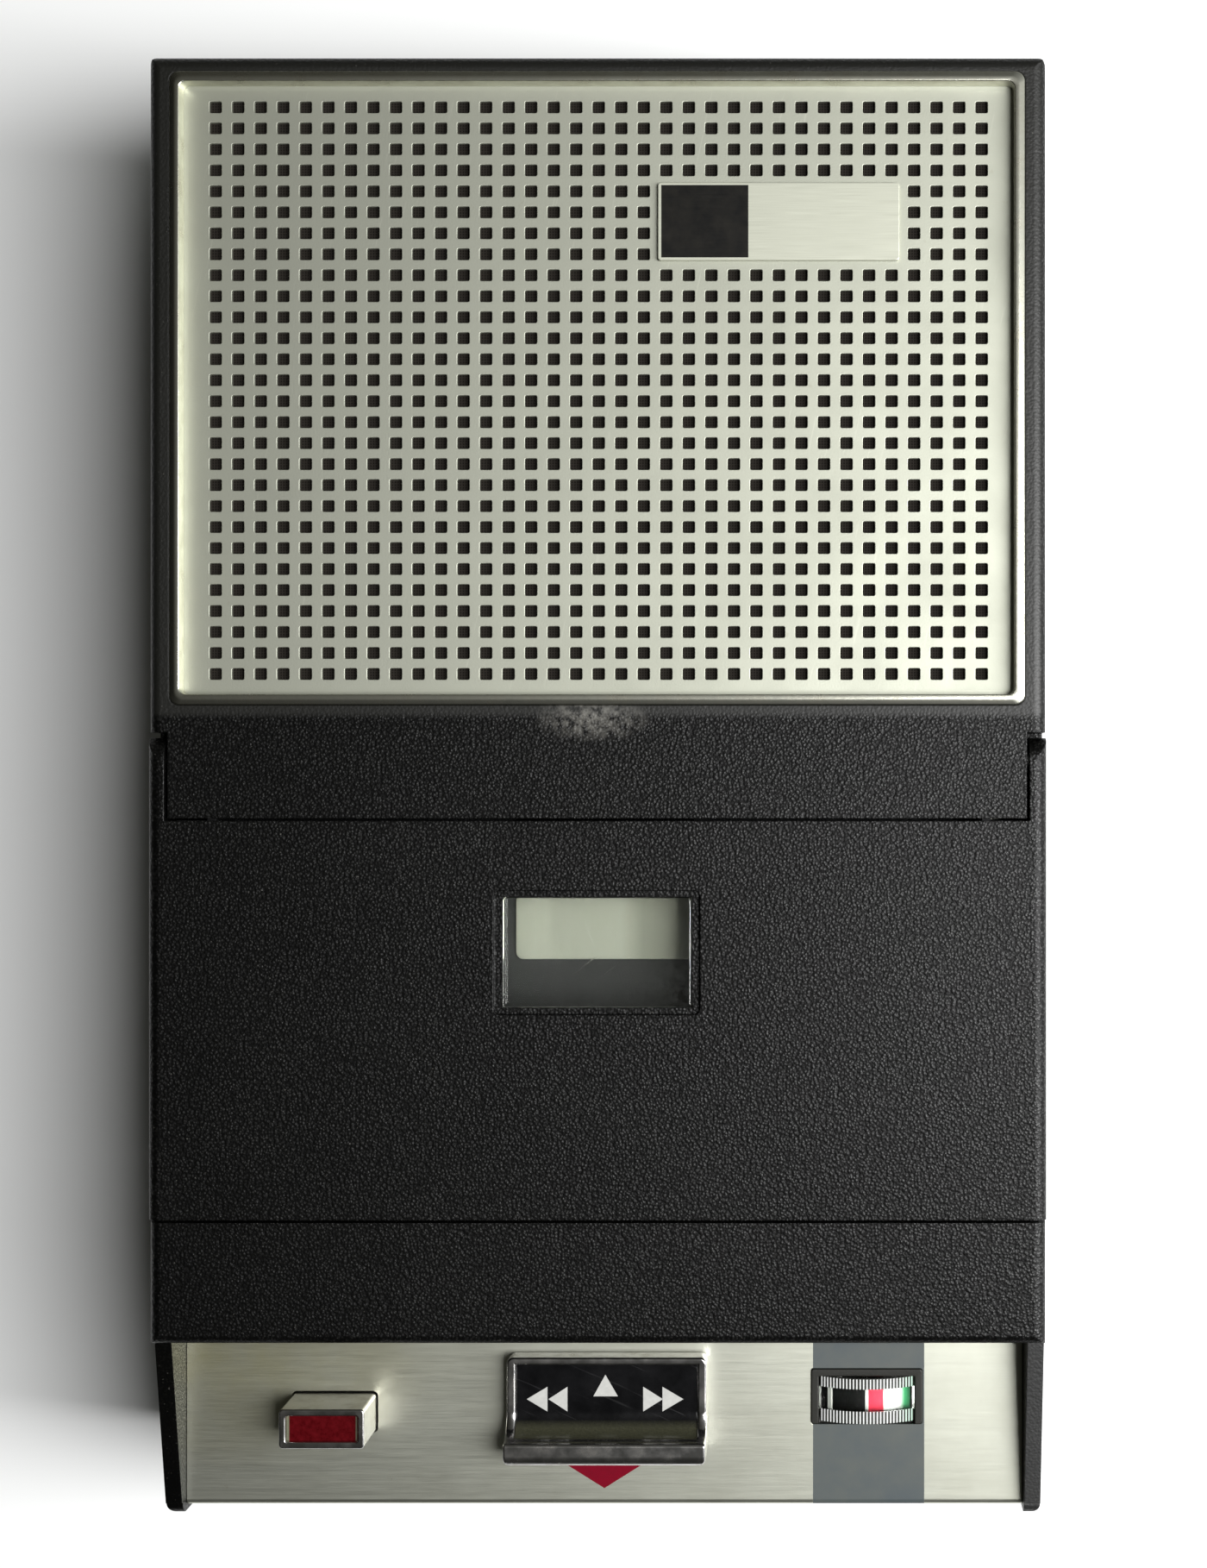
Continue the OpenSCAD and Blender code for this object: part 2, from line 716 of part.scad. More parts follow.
// Side view of the key: low rim behind, a dish, and a finger bar at the front
module key_outline(drop) {
    bar_y = key_y0 + key_bar_l;
    difference() {
        translate([key_y0, key_z]) square([key_l, key_bar_z - key_z]);
        translate([0, -drop]) {
            translate([bar_y + key_dish_r, key_rim_z]) square([key_l, 9]);
            translate([bar_y + key_dish_r, key_rim_z + key_dish_r]) circle(key_dish_r);
            translate([bar_y, key_rim_z + key_dish_r]) square([key_l, 9]);
        }
        translate([key_y0, key_bar_z]) mirror([1, 0]) corner_cut(1.2);
        translate([bar_y, key_bar_z]) corner_cut(0.5);
    }
}

module key_frame() {
    color([0.8, 0.8, 0.82]) translate([key_x, 0, 0]) {
        difference() {
            intersection() {
                across(-key_w / 2, key_w / 2) key_outline(0);
                translate([0, key_y0 + key_l / 2, key_z]) linear_extrude(20)
                    round_rect(key_w, key_l, 0.9);
            }
            key_pocket();
            span([-key_w / 2 + key_wall, key_w / 2 - key_wall],
                [key_y0 + key_wall, key_y1 - key_wall], [key_z - cut, key_rim_z - 2.2]);
        }
        // Stem through the panel and the foot that slides on the carrier
        span([-stem_w / 2, stem_w / 2], [stem_y - stem_l / 2, stem_y + stem_l / 2],
            [panel_z - 1, key_rim_z - 2.2]);
        span([-foot_w / 2, foot_w / 2], [stem_y - foot_l / 2, stem_y + foot_l / 2],
            [carrier_z + carrier_t + clear, panel_z - panel_t - clear]);
    }
}

// Seat of the black insert in the chrome frame
module key_pocket()
    span([-key_w / 2 + 1.25, key_w / 2 - 1.25], [key_y0 + key_bar_l + 0.2, key_y1 - key_wall],
        [key_rim_z - 1.6, key_bar_z + cut]);

module key_insert() {
    color([0.08, 0.08, 0.09]) translate([key_x, 0, 0]) intersection() {
        across(-key_w / 2, key_w / 2) key_outline(0.4);
        key_pocket();
    }
}

// Slide under the panel that the key rides on from side to side
module key_carrier() {
    rail = 1.6;
    y0 = stem_y - foot_l / 2 - clear;
    y1 = stem_y + foot_l / 2 + clear;
    stop_x = foot_w / 2 + wind_travel + clear;
    top = panel_z - panel_t - clear;
    color([0.6, 0.6, 0.6]) translate([key_x, 0, 0]) {
        span([-carrier_x, carrier_x], [key_y0 - 2, key_y1 + 1.5],
            [carrier_z, carrier_z + carrier_t]);
        for (y = [y0 - rail, y1])
            span([-carrier_x, carrier_x], [y, y + rail], [carrier_z + carrier_t, top]);
        both_sides() span([stop_x, carrier_x], [y0, y1], [carrier_z + carrier_t, top]);
    }
}

// Front view outline of the lid's outside
module lid_section() {
    difference() {
        translate([-lid_x, skirt_z]) square([2 * lid_x, skirt_h]);
        for (side = [0, 1]) mirror([side, 0]) translate([lid_x, body_h]) corner_cut(edge_r);
    }
}

module lid() {
    swing_r = norm([hinge_y - lid_y1, hinge_drop]);
    color([0.1, 0.1, 0.11]) difference() {
        intersection() {
            along(-body_l, body_l) lid_section();
            // The front edge is an arc about the hinge too, so it swings clear of the front band
            across(-body_w, body_w) translate([hinge_y, hinge_z])
                circle(hinge_y - lid_y0, $fn = 96);
            union() {
                span([-lid_x, lid_x], [lid_y0, lid_y1], [body_h - lid_t, body_h]);
                both_sides() across(lid_inner_x, lid_x) {
                    polygon([[lid_y0, skirt_z], [lid_y1, skirt_z],
                        [hinge_y, hinge_z - hinge_drop], [hinge_y, body_h],
                        [lid_y0, body_h]]);
                    translate([hinge_y, hinge_z]) circle(hinge_drop);
                }
                // Stiffening ribs under the lid, clear of the cassette
                both_sides() span([tray_x - 1, tray_x + 0.2], [lid_y0 + 4, lid_y1 - 6],
                    [body_h - lid_t - 1, body_h - lid_t]);
                both_sides() span([band_x - 4, lid_inner_x], [lid_y0, lid_y0 + 1.4],
                    [body_h - lid_t - 1, body_h - lid_t]);
            }
        }
        // The rear edge is an arc about the hinge, so it swings clear of the band
        across(-band_x - 0.1, band_x + 0.1)
            translate([hinge_y, hinge_z]) circle(swing_r, $fn = 96);
        both_sides() side_hole(lid_inner_x - cut, lid_inner_x + pin_seat, hinge_y, hinge_z,
            hinge_pin_r + run);
        translate([0, hub_y, body_h - 0.8]) linear_extrude(cut)
            round_rect(window_w + 2.4, window_l + 1.9, 0.8);
        translate([0, hub_y, skirt_z]) linear_extrude(skirt_h)
            square([window_w + 0.1, window_l + 0.1], center = true);
    }
}

module lid_window() {
    color([0.85, 0.9, 0.92, 0.35]) translate([0, hub_y, 0]) {
        translate([0, 0, body_h - lid_t]) linear_extrude(lid_t - 0.2)
            round_rect(window_w, window_l, 0.4);
        translate([0, 0, body_h - lid_t - 0.8]) linear_extrude(0.8)
            round_rect(window_w + 2.4, window_l + 2, 0.6);
    }
}

// Two bowed leaves that press the cassette down
module lid_springs() {
    bow_r = 60;
    color("silver") both_sides() across(33, 39) intersection() {
        translate([hub_y, body_h - lid_t - 1.6 + bow_r]) difference() {
            circle(bow_r, $fn = 96);
            circle(bow_r - 0.4, $fn = 96);
        }
        translate([hub_y - 12, body_h - lid_t - 2.5]) square([24, 2.5]);
    }
}

module hinge_pins() {
    color("silver") both_sides() side_hole(band_x - pin_boss_w + 0.6,
        lid_inner_x + pin_seat - 0.2, hinge_y, hinge_z, hinge_pin_r);
}

// The moulding that the cassette lies in
module cassette_tray() {
    ledge_x = lid_inner_x - 0.6;
    low = floor_z - tray_floor_t;
    front = y_lid_front + clear;
    color([0.07, 0.07, 0.08]) difference() {
        union() {
            span([-ledge_x, ledge_x], [front, y_lid_rear - clear], [low, ledge_z]);
            span([-tray_x - tray_t, tray_x + tray_t], [y_lid_rear - cut, tray_rear + tray_t],
                [low, band_z - 0.2]);
            span([-thick_w / 2 - 1.5, thick_w / 2 + 1.5], [front, cassette_y + thick_l + 1.5],
                [chassis_z, floor_z]);
        }
        span([-tray_x, tray_x], [front - cut, tray_rear], [floor_z, body_h]);
        span([-thick_w / 2, thick_w / 2], [front - cut, cassette_y + thick_l],
            [floor_z - thick_drop, floor_z + cut]);
        // The ledges are hollow below
        both_sides() span([tray_x + tray_t, ledge_x - 1.2], [front + 1.2, y_lid_rear - clear - 1.2],
            [low - cut, ledge_z - 1.2]);
        for (side = [-1, 1])
            upright(side * hub_pitch / 2, hub_y, low - cut, floor_z + cut, spindle_hub_r + 0.9);
        upright(capstan_x, capstan_y, chassis_z - cut, floor_z + cut, capstan_r + 1.6);
        // Notch for the pinch arm in the play position
        span([thick_w / 2 - 0.6, arm_x + 2.6], [front - cut, front + 1.4],
            [chassis_z - cut, floor_z + cut]);
    }
}

// Brushed plate on the compartment floor that shows through the window
module deck_tongue() {
    w = 24.2;
    front = hub_y - 1.7;
    color([0.78, 0.77, 0.74]) translate([0, 0, floor_z]) linear_extrude(0.5) difference() {
        translate([-w / 2, front]) square([w, tray_rear - front - 0.8]);
        for (side = [0, 1]) mirror([side, 0]) translate([w / 2, front])
            mirror([0, 1]) corner_cut(1);
    }
}

// Steel plate that all the mechanics hang on
module chassis_plate() {
    x1 = post_x + 1;
    color([0.62, 0.62, 0.6]) {
        translate([0, 0, chassis_z0]) linear_extrude(chassis_t) difference() {
            union() {
                translate([-x1, y_well - 0.5]) square([2 * x1, y_lid_rear + 10.8 - y_well]);
                translate([-44, y_front + 4.2]) square([70, well_l]);
            }
            for (side = [-1, 1], y = post_ys)
                translate([side * post_x, y]) square(post_w + 0.6, center = true);
            for (side = [-1, 1]) translate([side * hub_pitch / 2, hub_y]) circle(bush_r);
            translate([capstan_x, capstan_y]) circle(bush_r);
        }
        // Guide studs of the head carriage, guide ears of the key carrier, spring seat
        for (side = [-1, 1]) upright(side * 20, stud_y, chassis_z, carrier_z - 0.1, 1.2);
        translate([key_x, 0, 0]) both_sides() span([carrier_x + clear, carrier_x + clear + 1.2],
            [key_y0 - 4, key_y0 + 4], [chassis_z, carrier_z + carrier_t + 1]);
        upright(button_x, button_y, chassis_z, chassis_z + 2, 0.8);
        // Axle of the idler wheel, with a head below it
        upright(idler_x, idler_y, wheel_z - 0.3, chassis_z0, idler_pin_r);
        upright(idler_x, idler_y, wheel_z - 0.7, wheel_z - 0.3, idler_pin_r + 0.7);
    }
}

// Hub with drive fins above the deck, shaft, and the wheel that drives it below
module spindle() {
    top = floor_z + 8.4;
    color([0.85, 0.85, 0.82]) {
        upright(0, 0, wheel_z, chassis_z + 1.2, spindle_r);
        upright(0, 0, wheel_z, wheel_z + wheel_t, wheel_r);
        difference() {
            union() {
                upright(0, 0, chassis_z + 0.4, floor_z + 0.8, spindle_hub_r);
                upright(0, 0, floor_z, top - 1.4, 2.9);
                translate([0, 0, top - 1.4]) cylinder(h = 1.4, r1 = 2.9, r2 = 1.5);
                for (a = [90, 210, 330]) rotate(a)
                    span([0, 4.2], [-0.6, 0.6], [floor_z, top - 2]);
            }
            upright(0, 0, floor_z + 3, top + cut, 0.9);
        }
    }
}

module supply_spindle() translate([-hub_pitch / 2, hub_y, 0]) spindle();
module takeup_spindle() translate([hub_pitch / 2, hub_y, 0]) spindle();

// Flanged bushes pressed in the chassis plate
module spindle_bushes() {
    color([0.75, 0.6, 0.3]) {
        for (side = [-1, 1]) translate([side * hub_pitch / 2, hub_y, 0]) bush(spindle_r);
        translate([capstan_x, capstan_y, 0]) bush(capstan_r);
    }
}

module bush(r) {
    difference() {
        union() {
            upright(0, 0, chassis_z0, chassis_z, bush_r);
            upright(0, 0, chassis_z0 - 1.5, chassis_z0, bush_r + 1);
        }
        upright(0, 0, chassis_z0 - 2 - cut, chassis_z + cut, r + run);
    }
}

module capstan() {
    color([0.8, 0.8, 0.82]) upright(capstan_x, capstan_y, bridge_z + 0.3,
        cassette_mid_z + 4.6, capstan_r);
}

module flywheel() {
    color([0.7, 0.68, 0.6]) translate([capstan_x, capstan_y, fly_z]) difference() {
        union() {
            cylinder(h = fly_t, r = fly_r, $fn = 96);
            cylinder(h = fly_t + 4, r = fly_hub_r);
        }
        translate([0, 0, -cut]) cylinder(h = fly_t + 6, r = capstan_r);
        // Groove for the belt, and the turned recesses in the web
        translate([0, 0, belt_z - fly_z - 0.1]) difference() {
            cylinder(h = belt_w + 0.2, r = fly_r + cut, $fn = 96);
            translate([0, 0, -cut]) cylinder(h = belt_w + 2 * cut, r = fly_r - groove, $fn = 96);
        }
        for (z = [-cut, fly_t - 0.6]) translate([0, 0, z]) difference() {
            cylinder(h = cut + 0.6, r = fly_r - 4);
            cylinder(h = 3, r = fly_hub_r);
        }
    }
}

// Bridge that carries the lower end of the capstan
module flywheel_bridge() {
    half = fly_r + 2.5;
    color([0.6, 0.6, 0.6]) translate([capstan_x, capstan_y, 0]) difference() {
        union() {
            span([-half - 1.2, half + 1.2], [-3.5, 3.5], [bridge_z - 1, bridge_z]);
            both_sides() span([half, half + 1.2], [-3.5, 3.5], [bridge_z - 1, chassis_z0]);
            upright(0, 0, bridge_z - 1, bridge_z + 2.5, 3);
        }
        upright(0, 0, bridge_z + 0.1, bridge_z + 3, capstan_r + run);
    }
}

// Rubber wheel between the flywheel hub and the take-up wheel
module idler_wheel() {
    color([0.12, 0.12, 0.12]) difference() {
        union() {
            upright(idler_x, idler_y, wheel_z, wheel_z + wheel_t, idler_r);
            upright(idler_x, idler_y, wheel_z + wheel_t, chassis_z0 - 0.3, 2);
        }
        upright(idler_x, idler_y, wheel_z - cut, chassis_z0, idler_pin_r + run);
    }
}

module drive_motor() {
    color([0.7, 0.7, 0.7]) translate([motor_x, motor_y, motor_z]) difference() {
        union() {
            cylinder(h = motor_h, r = motor_r);
            cylinder(h = motor_h + bracket_t, r = 3.5);
        }
        upright(0, 0, motor_h - 6, motor_h + bracket_t + cut, shaft_r + run);
    }
}

// Strap with two legs that hangs the motor from the chassis plate
module motor_bracket() {
    z = motor_z + motor_h;
    half = motor_r + 3;
    color([0.6, 0.6, 0.6]) translate([motor_x, motor_y, 0]) difference() {
        union() {
            span([-5, 5], [-half, half], [z, z + bracket_t]);
            for (y = [-half, half - 1.2]) span([-5, 5], [y, y + 1.2], [z, chassis_z0]);
        }
        upright(0, 0, z - cut, z + bracket_t + cut, 3.5);
    }
}

// The pulley and the motor shaft that it is pressed on
module motor_pulley() {
    z0 = motor_z + motor_h + bracket_t + 0.2;
    color([0.75, 0.6, 0.3]) translate([motor_x, motor_y, 0]) difference() {
        union() {
            upright(0, 0, z0, belt_z + belt_w + 1, pulley_r);
            upright(0, 0, z0 - 6, z0, shaft_r);
        }
        translate([0, 0, belt_z - 0.1]) difference() {
            cylinder(h = belt_w + 0.2, r = pulley_r + cut);
            translate([0, 0, -cut]) cylinder(h = belt_w + 2 * cut, r = pulley_r - groove);
        }
    }
}

module drive_belt() {
    color([0.1, 0.1, 0.1]) translate([0, 0, belt_z]) linear_extrude(belt_w)
        difference() {
            belt_loop(belt_t + run);
            belt_loop(run);
        }
}

// Outline of the belt, grown by some amount from the grooves that it runs in
module belt_loop(grow) {
    hull() {
        translate([capstan_x, capstan_y]) circle(fly_r - groove + grow, $fn = 96);
        translate([motor_x, motor_y]) circle(pulley_r - groove + grow, $fn = 96);
    }
}

// Slide that brings the heads up to the tape
module head_carriage() {
    top = carriage_z + carriage_t;
    slot_y0 = stud_y - carriage_ratio * play_travel - 1.5;
    slot_y1 = stud_y + carriage_ratio * eject_travel + 1.5;
    color([0.66, 0.66, 0.64]) difference() {
        union() {
            span([-30, 26], [carriage_front, carriage_rear], [carriage_z, top]);
            span([26, arm_x + 4], [arm_y - 3, carriage_rear], [carriage_z, top]);
            span([-6.2, 6.2], [carriage_rear - 4.6, carriage_rear], [top, top + 1]);
            span([-22.4, -12.8], [carriage_rear - 4, carriage_rear], [top, top + 1.8]);
            upright(arm_x, arm_y, top, top + 10.4, pivot_r);
        }
        for (side = [-1, 1])
            span([side * 20 - 1.5, side * 20 + 1.5], [slot_y0, slot_y1],
                [carriage_z - cut, top + cut]);
    }
}

// Plan view of a head: a can with a curved face towards the tape
module head_plan(w, l, nose_r) {
    intersection() {
        translate([-w / 2, -l]) square([w, l]);
        translate([0, -nose_r]) circle(nose_r);
    }
    translate([-w / 2, -l]) square([w, l - 2.6]);
}

module tape_head() {
    z = carriage_z + carriage_t + 1;
    color([0.8, 0.8, 0.8]) {
        translate([0, cassette_y - 1.2, z]) linear_extrude(10) head_plan(12.4, 10.2, 7);
        // Tape guides beside the face
        both_sides() span([6.2, 7], [cassette_y - 5.5, cassette_y - 1.5], [z + 2, z + 8.6]);
    }
}

module erase_head() {
    z = carriage_z + carriage_t + 1.8;
    color([0.2, 0.2, 0.2]) translate([-17.6, cassette_y - 1.6, z])
        linear_extrude(8.4) head_plan(8.6, 8.6, 5.5);
}

// Forked lever that holds the pinch roller
module pinch_arm() {
    z0 = carriage_z + carriage_t + 0.3;
    leaf = 0.8;
    z1 = z0 + 9.2;
    color([0.66, 0.66, 0.64]) difference() {
        union() {
            for (z = [z0, z1]) translate([0, 0, z]) linear_extrude(leaf) arm_plan();
            upright(arm_x, arm_y, z0, z1 + leaf, pivot_r + 0.9);
            upright(roller_x, roller_y, z0, z1 + leaf, 0.8);
        }
        upright(arm_x, arm_y, z0 - cut, z1 + leaf + cut, pivot_r + run);
    }
}

module arm_plan() {
    length = norm([arm_x - roller_x, arm_y - roller_y]);
    translate([arm_x, arm_y]) {
        rotate(atan2(roller_y - arm_y, roller_x - arm_x))
            translate([0, -1.6]) square([length, 3.2]);
        circle(pivot_r + 0.9);
    }
    translate([roller_x, roller_y]) circle(1.6);
}

module pinch_roller() {
    z = carriage_z + carriage_t + 2.2;
    color([0.08, 0.08, 0.08]) difference() {
        upright(roller_x, roller_y, z, z + 6.6, roller_r);
        upright(roller_x, roller_y, z - cut, z + 6.6 + cut, 0.8 + run);
    }
}

module circuit_board() {
    color([0.55, 0.42, 0.2]) span([-6, 40], [y_well + 9.5, y_lid_rear + 4],
        [foot_h + 6, foot_h + 7.6]);
}

// Transistors, capacitors and resistors standing on the board
module board_parts() {
    z = foot_h + 7.6;
    color([0.3, 0.35, 0.5]) {
        for (i = [0:4]) upright(2 + i * 8, y_well + 15.5, z, z + 8, 2.6);
        for (i = [0:5]) upright(1 + i * 6.6, y_well + 25.5, z, z + 5, 2.2);
        for (i = [0:6], j = [0:2])
            translate([-1 + i * 5.6, y_well + 33.5 + j * 8, z + 1.2]) rotate([-90, 0, 0])
                cylinder(h = 5, r = 1.1, $fn = 24);
    }
}

module thumb_wheel() {
    color([0.1, 0.1, 0.1]) difference() {
        cylinder(h = thumb_t, r = thumb_r);
        for (a = [0:15:345]) rotate(a) translate([thumb_r + 0.25, 0, -cut])
            cylinder(h = thumb_t + 2 * cut, r = 0.6, $fn = 16);
        translate([0, 0, -cut]) cylinder(h = thumb_t + 2 * cut, r = 1.5);
    }
}

module volume_wheel() translate([thumb_x, thumb_y, volume_z]) thumb_wheel();
module level_wheel() translate([thumb_x, thumb_y, level_z]) thumb_wheel();

// Potentiometers below the two thumb wheels, with the shafts they turn on
module level_controls() {
    color([0.55, 0.55, 0.5]) for (z = [level_z, volume_z]) {
        intersection() {
            upright(thumb_x, thumb_y, z - 7, z - 0.4, 6.6);
            span([0, inner_x - clear], [y_front, 0], [0, body_h]);
        }
        upright(thumb_x, thumb_y, z - 0.4, z + thumb_t + 0.6, 1.5 - run);
        span([thumb_x - 9.5, thumb_x], [thumb_y - 4, thumb_y + 4], [z - 7, z - 5.4]);
    }
}

// Basket with windows, turned about the upright axis of the speaker
module speaker_frame() {
    top = baffle_z;
    seat_r = 17;
    low = top - 11.6;
    color([0.45, 0.45, 0.45]) translate([0, grille_y, 0]) difference() {
        rotate_extrude($fn = 96) polygon([[seat_r - 1, low], [seat_r + 1, low],
            [cone_r + 2, top - 2.2], [speaker_r, top - 2.2], [speaker_r, top],
            [cone_r + 1, top], [cone_r + 1, top - 1.2], [seat_r, low + 1],
            [seat_r - 1, low + 1]]);
        for (a = [30:60:330]) rotate(a)
            span([seat_r + 3, cone_r - 2], [-5, 5], [low - cut, top]);
    }
}

module speaker_magnet() {
    z = baffle_z - 11.6;
    color([0.3, 0.3, 0.32]) translate([0, grille_y, z]) difference() {
        union() {
            translate([0, 0, -1.4]) cylinder(h = 1.4, r = 18);
            translate([0, 0, -5]) cylinder(h = 3.6, r = 15);
        }
        translate([0, 0, -3.5]) difference() {
            cylinder(h = 4, r = 6.6);
            cylinder(h = 4, r = 5.4);
        }
    }
}

// Paper cone, its roll at the rim, voice coil and dust cap
module speaker_cone() {
    top = baffle_z;
    coil_r = 6;
    low = top - 9;
    color([0.12, 0.12, 0.12]) translate([0, grille_y, 0]) rotate_extrude($fn = 96)
        polygon([[0, low + 2.4], [coil_r - 2, low + 1.8], [coil_r, low], [coil_r, low - 4.6],
            [coil_r + 0.4, low - 4.6], [coil_r + 0.4, low - 0.2], [cone_r - 3, top - 2],
            [cone_r - 1, top - 1], [cone_r + 0.8, top - 1], [cone_r + 0.8, top - 0.6],
            [cone_r - 1.2, top - 0.6], [cone_r - 3.2, top - 1.5], [coil_r + 0.2, low + 0.6],
            [coil_r - 2, low + 2.4], [0, low + 3]]);
}

// Moulded bay for four cells side by side and one across the front
module battery_box() {
    back = bay_y1 + cell_room;
    color([0.12, 0.12, 0.12]) difference() {
        span([-bay_x - bay_t, bay_x + bay_t], [bay_y0 - bay_t, back + bay_t],
            [bay_z0, bay_z1 + bay_t]);
        span([-bay_x, bay_x], [bay_y1, back], [bay_z0 - cut, bay_z1]);
        span([-bay_x, -bay_x + cell_room], [bay_y0, bay_y1 - bay_t], [bay_z0 - cut, bay_z1]);
        span([-bay_x + cell_room + bay_t, bay_x + bay_t - 1.2], [bay_y0, bay_y1 - bay_t],
            [bay_z0 + bay_t, bay_z1 + bay_t + cut]);
    }
}

// A cell lying along +Y from the origin, its button towards +Y
module cell() {
    rotate([-90, 0, 0]) {
        cylinder(h = cell_l - 1.5, r = cell_d / 2);
        cylinder(h = cell_l, r = 3);
    }
}

module battery_cells() {
    mid = bay_y1 + cell_room / 2;
    color([0.75, 0.5, 0.25]) {
        for (i = [0:3]) translate([(i - 1.5) * cell_pitch, mid, cell_z])
            rotate(i % 2 * 180) translate([0, -cell_l / 2, 0]) cell();
        translate([-bay_x + cell_room / 2 - cell_l / 2, bay_y0 + cross_l / 2, cell_z])
            rotate(-90) cell();
    }
}

// Contact plates with a raised spring boss at both ends of each cell
module battery_contacts() {
    back = bay_y1 + cell_room;
    color([0.8, 0.7, 0.4]) {
        for (i = [0:3], end = [0, 1])
            translate([(i - 1.5) * cell_pitch, end == 0 ? bay_y1 : back, cell_z])
                rotate([end == 0 ? -90 : 90, 0, 0]) contact();
        for (end = [0, 1])
            translate([-bay_x + end * cell_room, bay_y0 + cross_l / 2, cell_z])
                rotate([0, end == 0 ? 90 : -90, 0]) contact();
    }
}

module contact() {
    translate([-6, -6, 0]) cube([12, 12, 0.4]);
    translate([0, 0, 0.4]) cylinder(h = 0.9, r = 4);
}

// Sliding door of the bay, with grip ridges near its front edge
module battery_cover() {
    y0 = cover_y0 + 0.2;
    color([0.09, 0.09, 0.1]) difference() {
        intersection() {
            case_form(foot_h, split_z);
            union() {
                span([-cover_x + 1.2, cover_x - 1.2], [y0, y_rear], [foot_h, foot_h + 0.85]);
                span([-cover_x + 0.2, cover_x - 0.2], [y0, y_rear],
                    [foot_h + 0.85, foot_h + cover_t]);
            }
        }
        for (i = [0:4]) span([-9, 9], [y0 + 5 + i * 2, y0 + 6 + i * 2],
            [foot_h - cut, foot_h + 0.5]);
    }
}

// Round five-pin sockets in the left side
module din_sockets() {
    color([0.15, 0.15, 0.15]) for (i = [0:2])
        translate([-body_w / 2, socket_y - i * socket_pitch, socket_z]) rotate([0, 90, 0])
            difference() {
                union() {
                    cylinder(h = 9, r = socket_r);
                    translate([0, 0, wall]) cylinder(h = 1.2, r = socket_r + 0.4);
                }
                translate([0, 0, -cut]) difference() {
                    cylinder(h = 7, r = 6.8);
                    cylinder(h = 8, r = 5.6);
                }
                for (a = [-90:45:90]) rotate(a) translate([3.4, 0, -cut])
                    cylinder(h = 7, r = 0.75, $fn = 24);
            }
}

module power_socket() {
    color([0.15, 0.15, 0.15]) translate([-body_w / 2, jack_y, socket_z]) rotate([0, 90, 0]) {
        difference() {
            union() {
                cylinder(h = 9, r = jack_r);
                translate([0, 0, wall]) cylinder(h = 1, r = jack_r + 0.4);
            }
            translate([0, 0, -cut]) cylinder(h = 8, r = 2.6);
        }
        cylinder(h = 8, r = 0.8, $fn = 24);
    }
}

module rubber_feet() {
    color([0.05, 0.05, 0.05]) for (side = [-1, 1], y = [y_front + foot_in, y_rear - foot_in])
        upright(side * foot_x, y, 0, foot_h, foot_r);
}

module case_screws() {
    head_z = foot_h + 7;
    color("silver") for (side = [-1, 1], y = post_ys) translate([side * post_x, y, 0])
        difference() {
            union() {
                upright(0, 0, head_z - 2, head_z, 2.8);
                upright(0, 0, head_z, split_z + 8, screw_r);
            }
            span([-2.4, 2.4], [-0.4, 0.4], [head_z - 2 - cut, head_z - 1.2]);
        }
}

lower_case();
upper_case();
grille_frame();
grille();
grille_cloth();
badge_plate();
front_panel();
meter_housing();
meter_scale();
meter_lens();
meter_needle();
record_button();
record_cap();
button_spring();
key_frame();
key_insert();
key_carrier();
lid();
lid_window();
lid_springs();
hinge_pins();
cassette_tray();
deck_tongue();
chassis_plate();
supply_spindle();
takeup_spindle();
spindle_bushes();
capstan();
flywheel();
flywheel_bridge();
idler_wheel();
drive_motor();
motor_bracket();
motor_pulley();
drive_belt();
head_carriage();
tape_head();
erase_head();
pinch_arm();
pinch_roller();
circuit_board();
board_parts();
volume_wheel();
level_wheel();
level_controls();
speaker_frame();
speaker_magnet();
speaker_cone();
battery_box();
battery_cells();
battery_contacts();
battery_cover();
din_sockets();
power_socket();
rubber_feet();
case_screws();
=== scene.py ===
"""Looks of a portable cassette recorder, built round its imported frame.

Every length in the dataclasses is in millimetres, in the frame of the part: +X right, +Y to the
rear with the loudspeaker grille, +Z up, and the origin at the centre of the footprint.
"""

import logging
import math
from dataclasses import dataclass, field
from enum import Enum

import bmesh
import bpy
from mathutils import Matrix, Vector

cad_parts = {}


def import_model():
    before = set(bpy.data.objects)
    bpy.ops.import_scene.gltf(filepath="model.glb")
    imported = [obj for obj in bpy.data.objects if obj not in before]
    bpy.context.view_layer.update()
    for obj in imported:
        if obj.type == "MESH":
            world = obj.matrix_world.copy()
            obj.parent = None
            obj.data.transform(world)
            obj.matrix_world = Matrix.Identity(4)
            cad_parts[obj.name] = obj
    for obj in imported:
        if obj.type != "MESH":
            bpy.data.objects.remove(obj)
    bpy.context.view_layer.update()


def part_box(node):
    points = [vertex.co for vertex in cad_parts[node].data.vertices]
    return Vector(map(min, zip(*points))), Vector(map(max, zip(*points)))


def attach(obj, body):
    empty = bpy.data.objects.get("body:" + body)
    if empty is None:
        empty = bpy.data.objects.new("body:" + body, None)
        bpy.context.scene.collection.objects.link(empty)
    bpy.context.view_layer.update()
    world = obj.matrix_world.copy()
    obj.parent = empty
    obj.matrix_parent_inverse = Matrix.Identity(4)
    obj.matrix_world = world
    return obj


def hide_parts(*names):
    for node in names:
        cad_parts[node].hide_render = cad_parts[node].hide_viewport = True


MM = 0.001
# Vertices nearer than this, in metres, are welded: in one node's mesh, and between cells.
WELD = 2e-6
WELD_CELLS = 5e-6
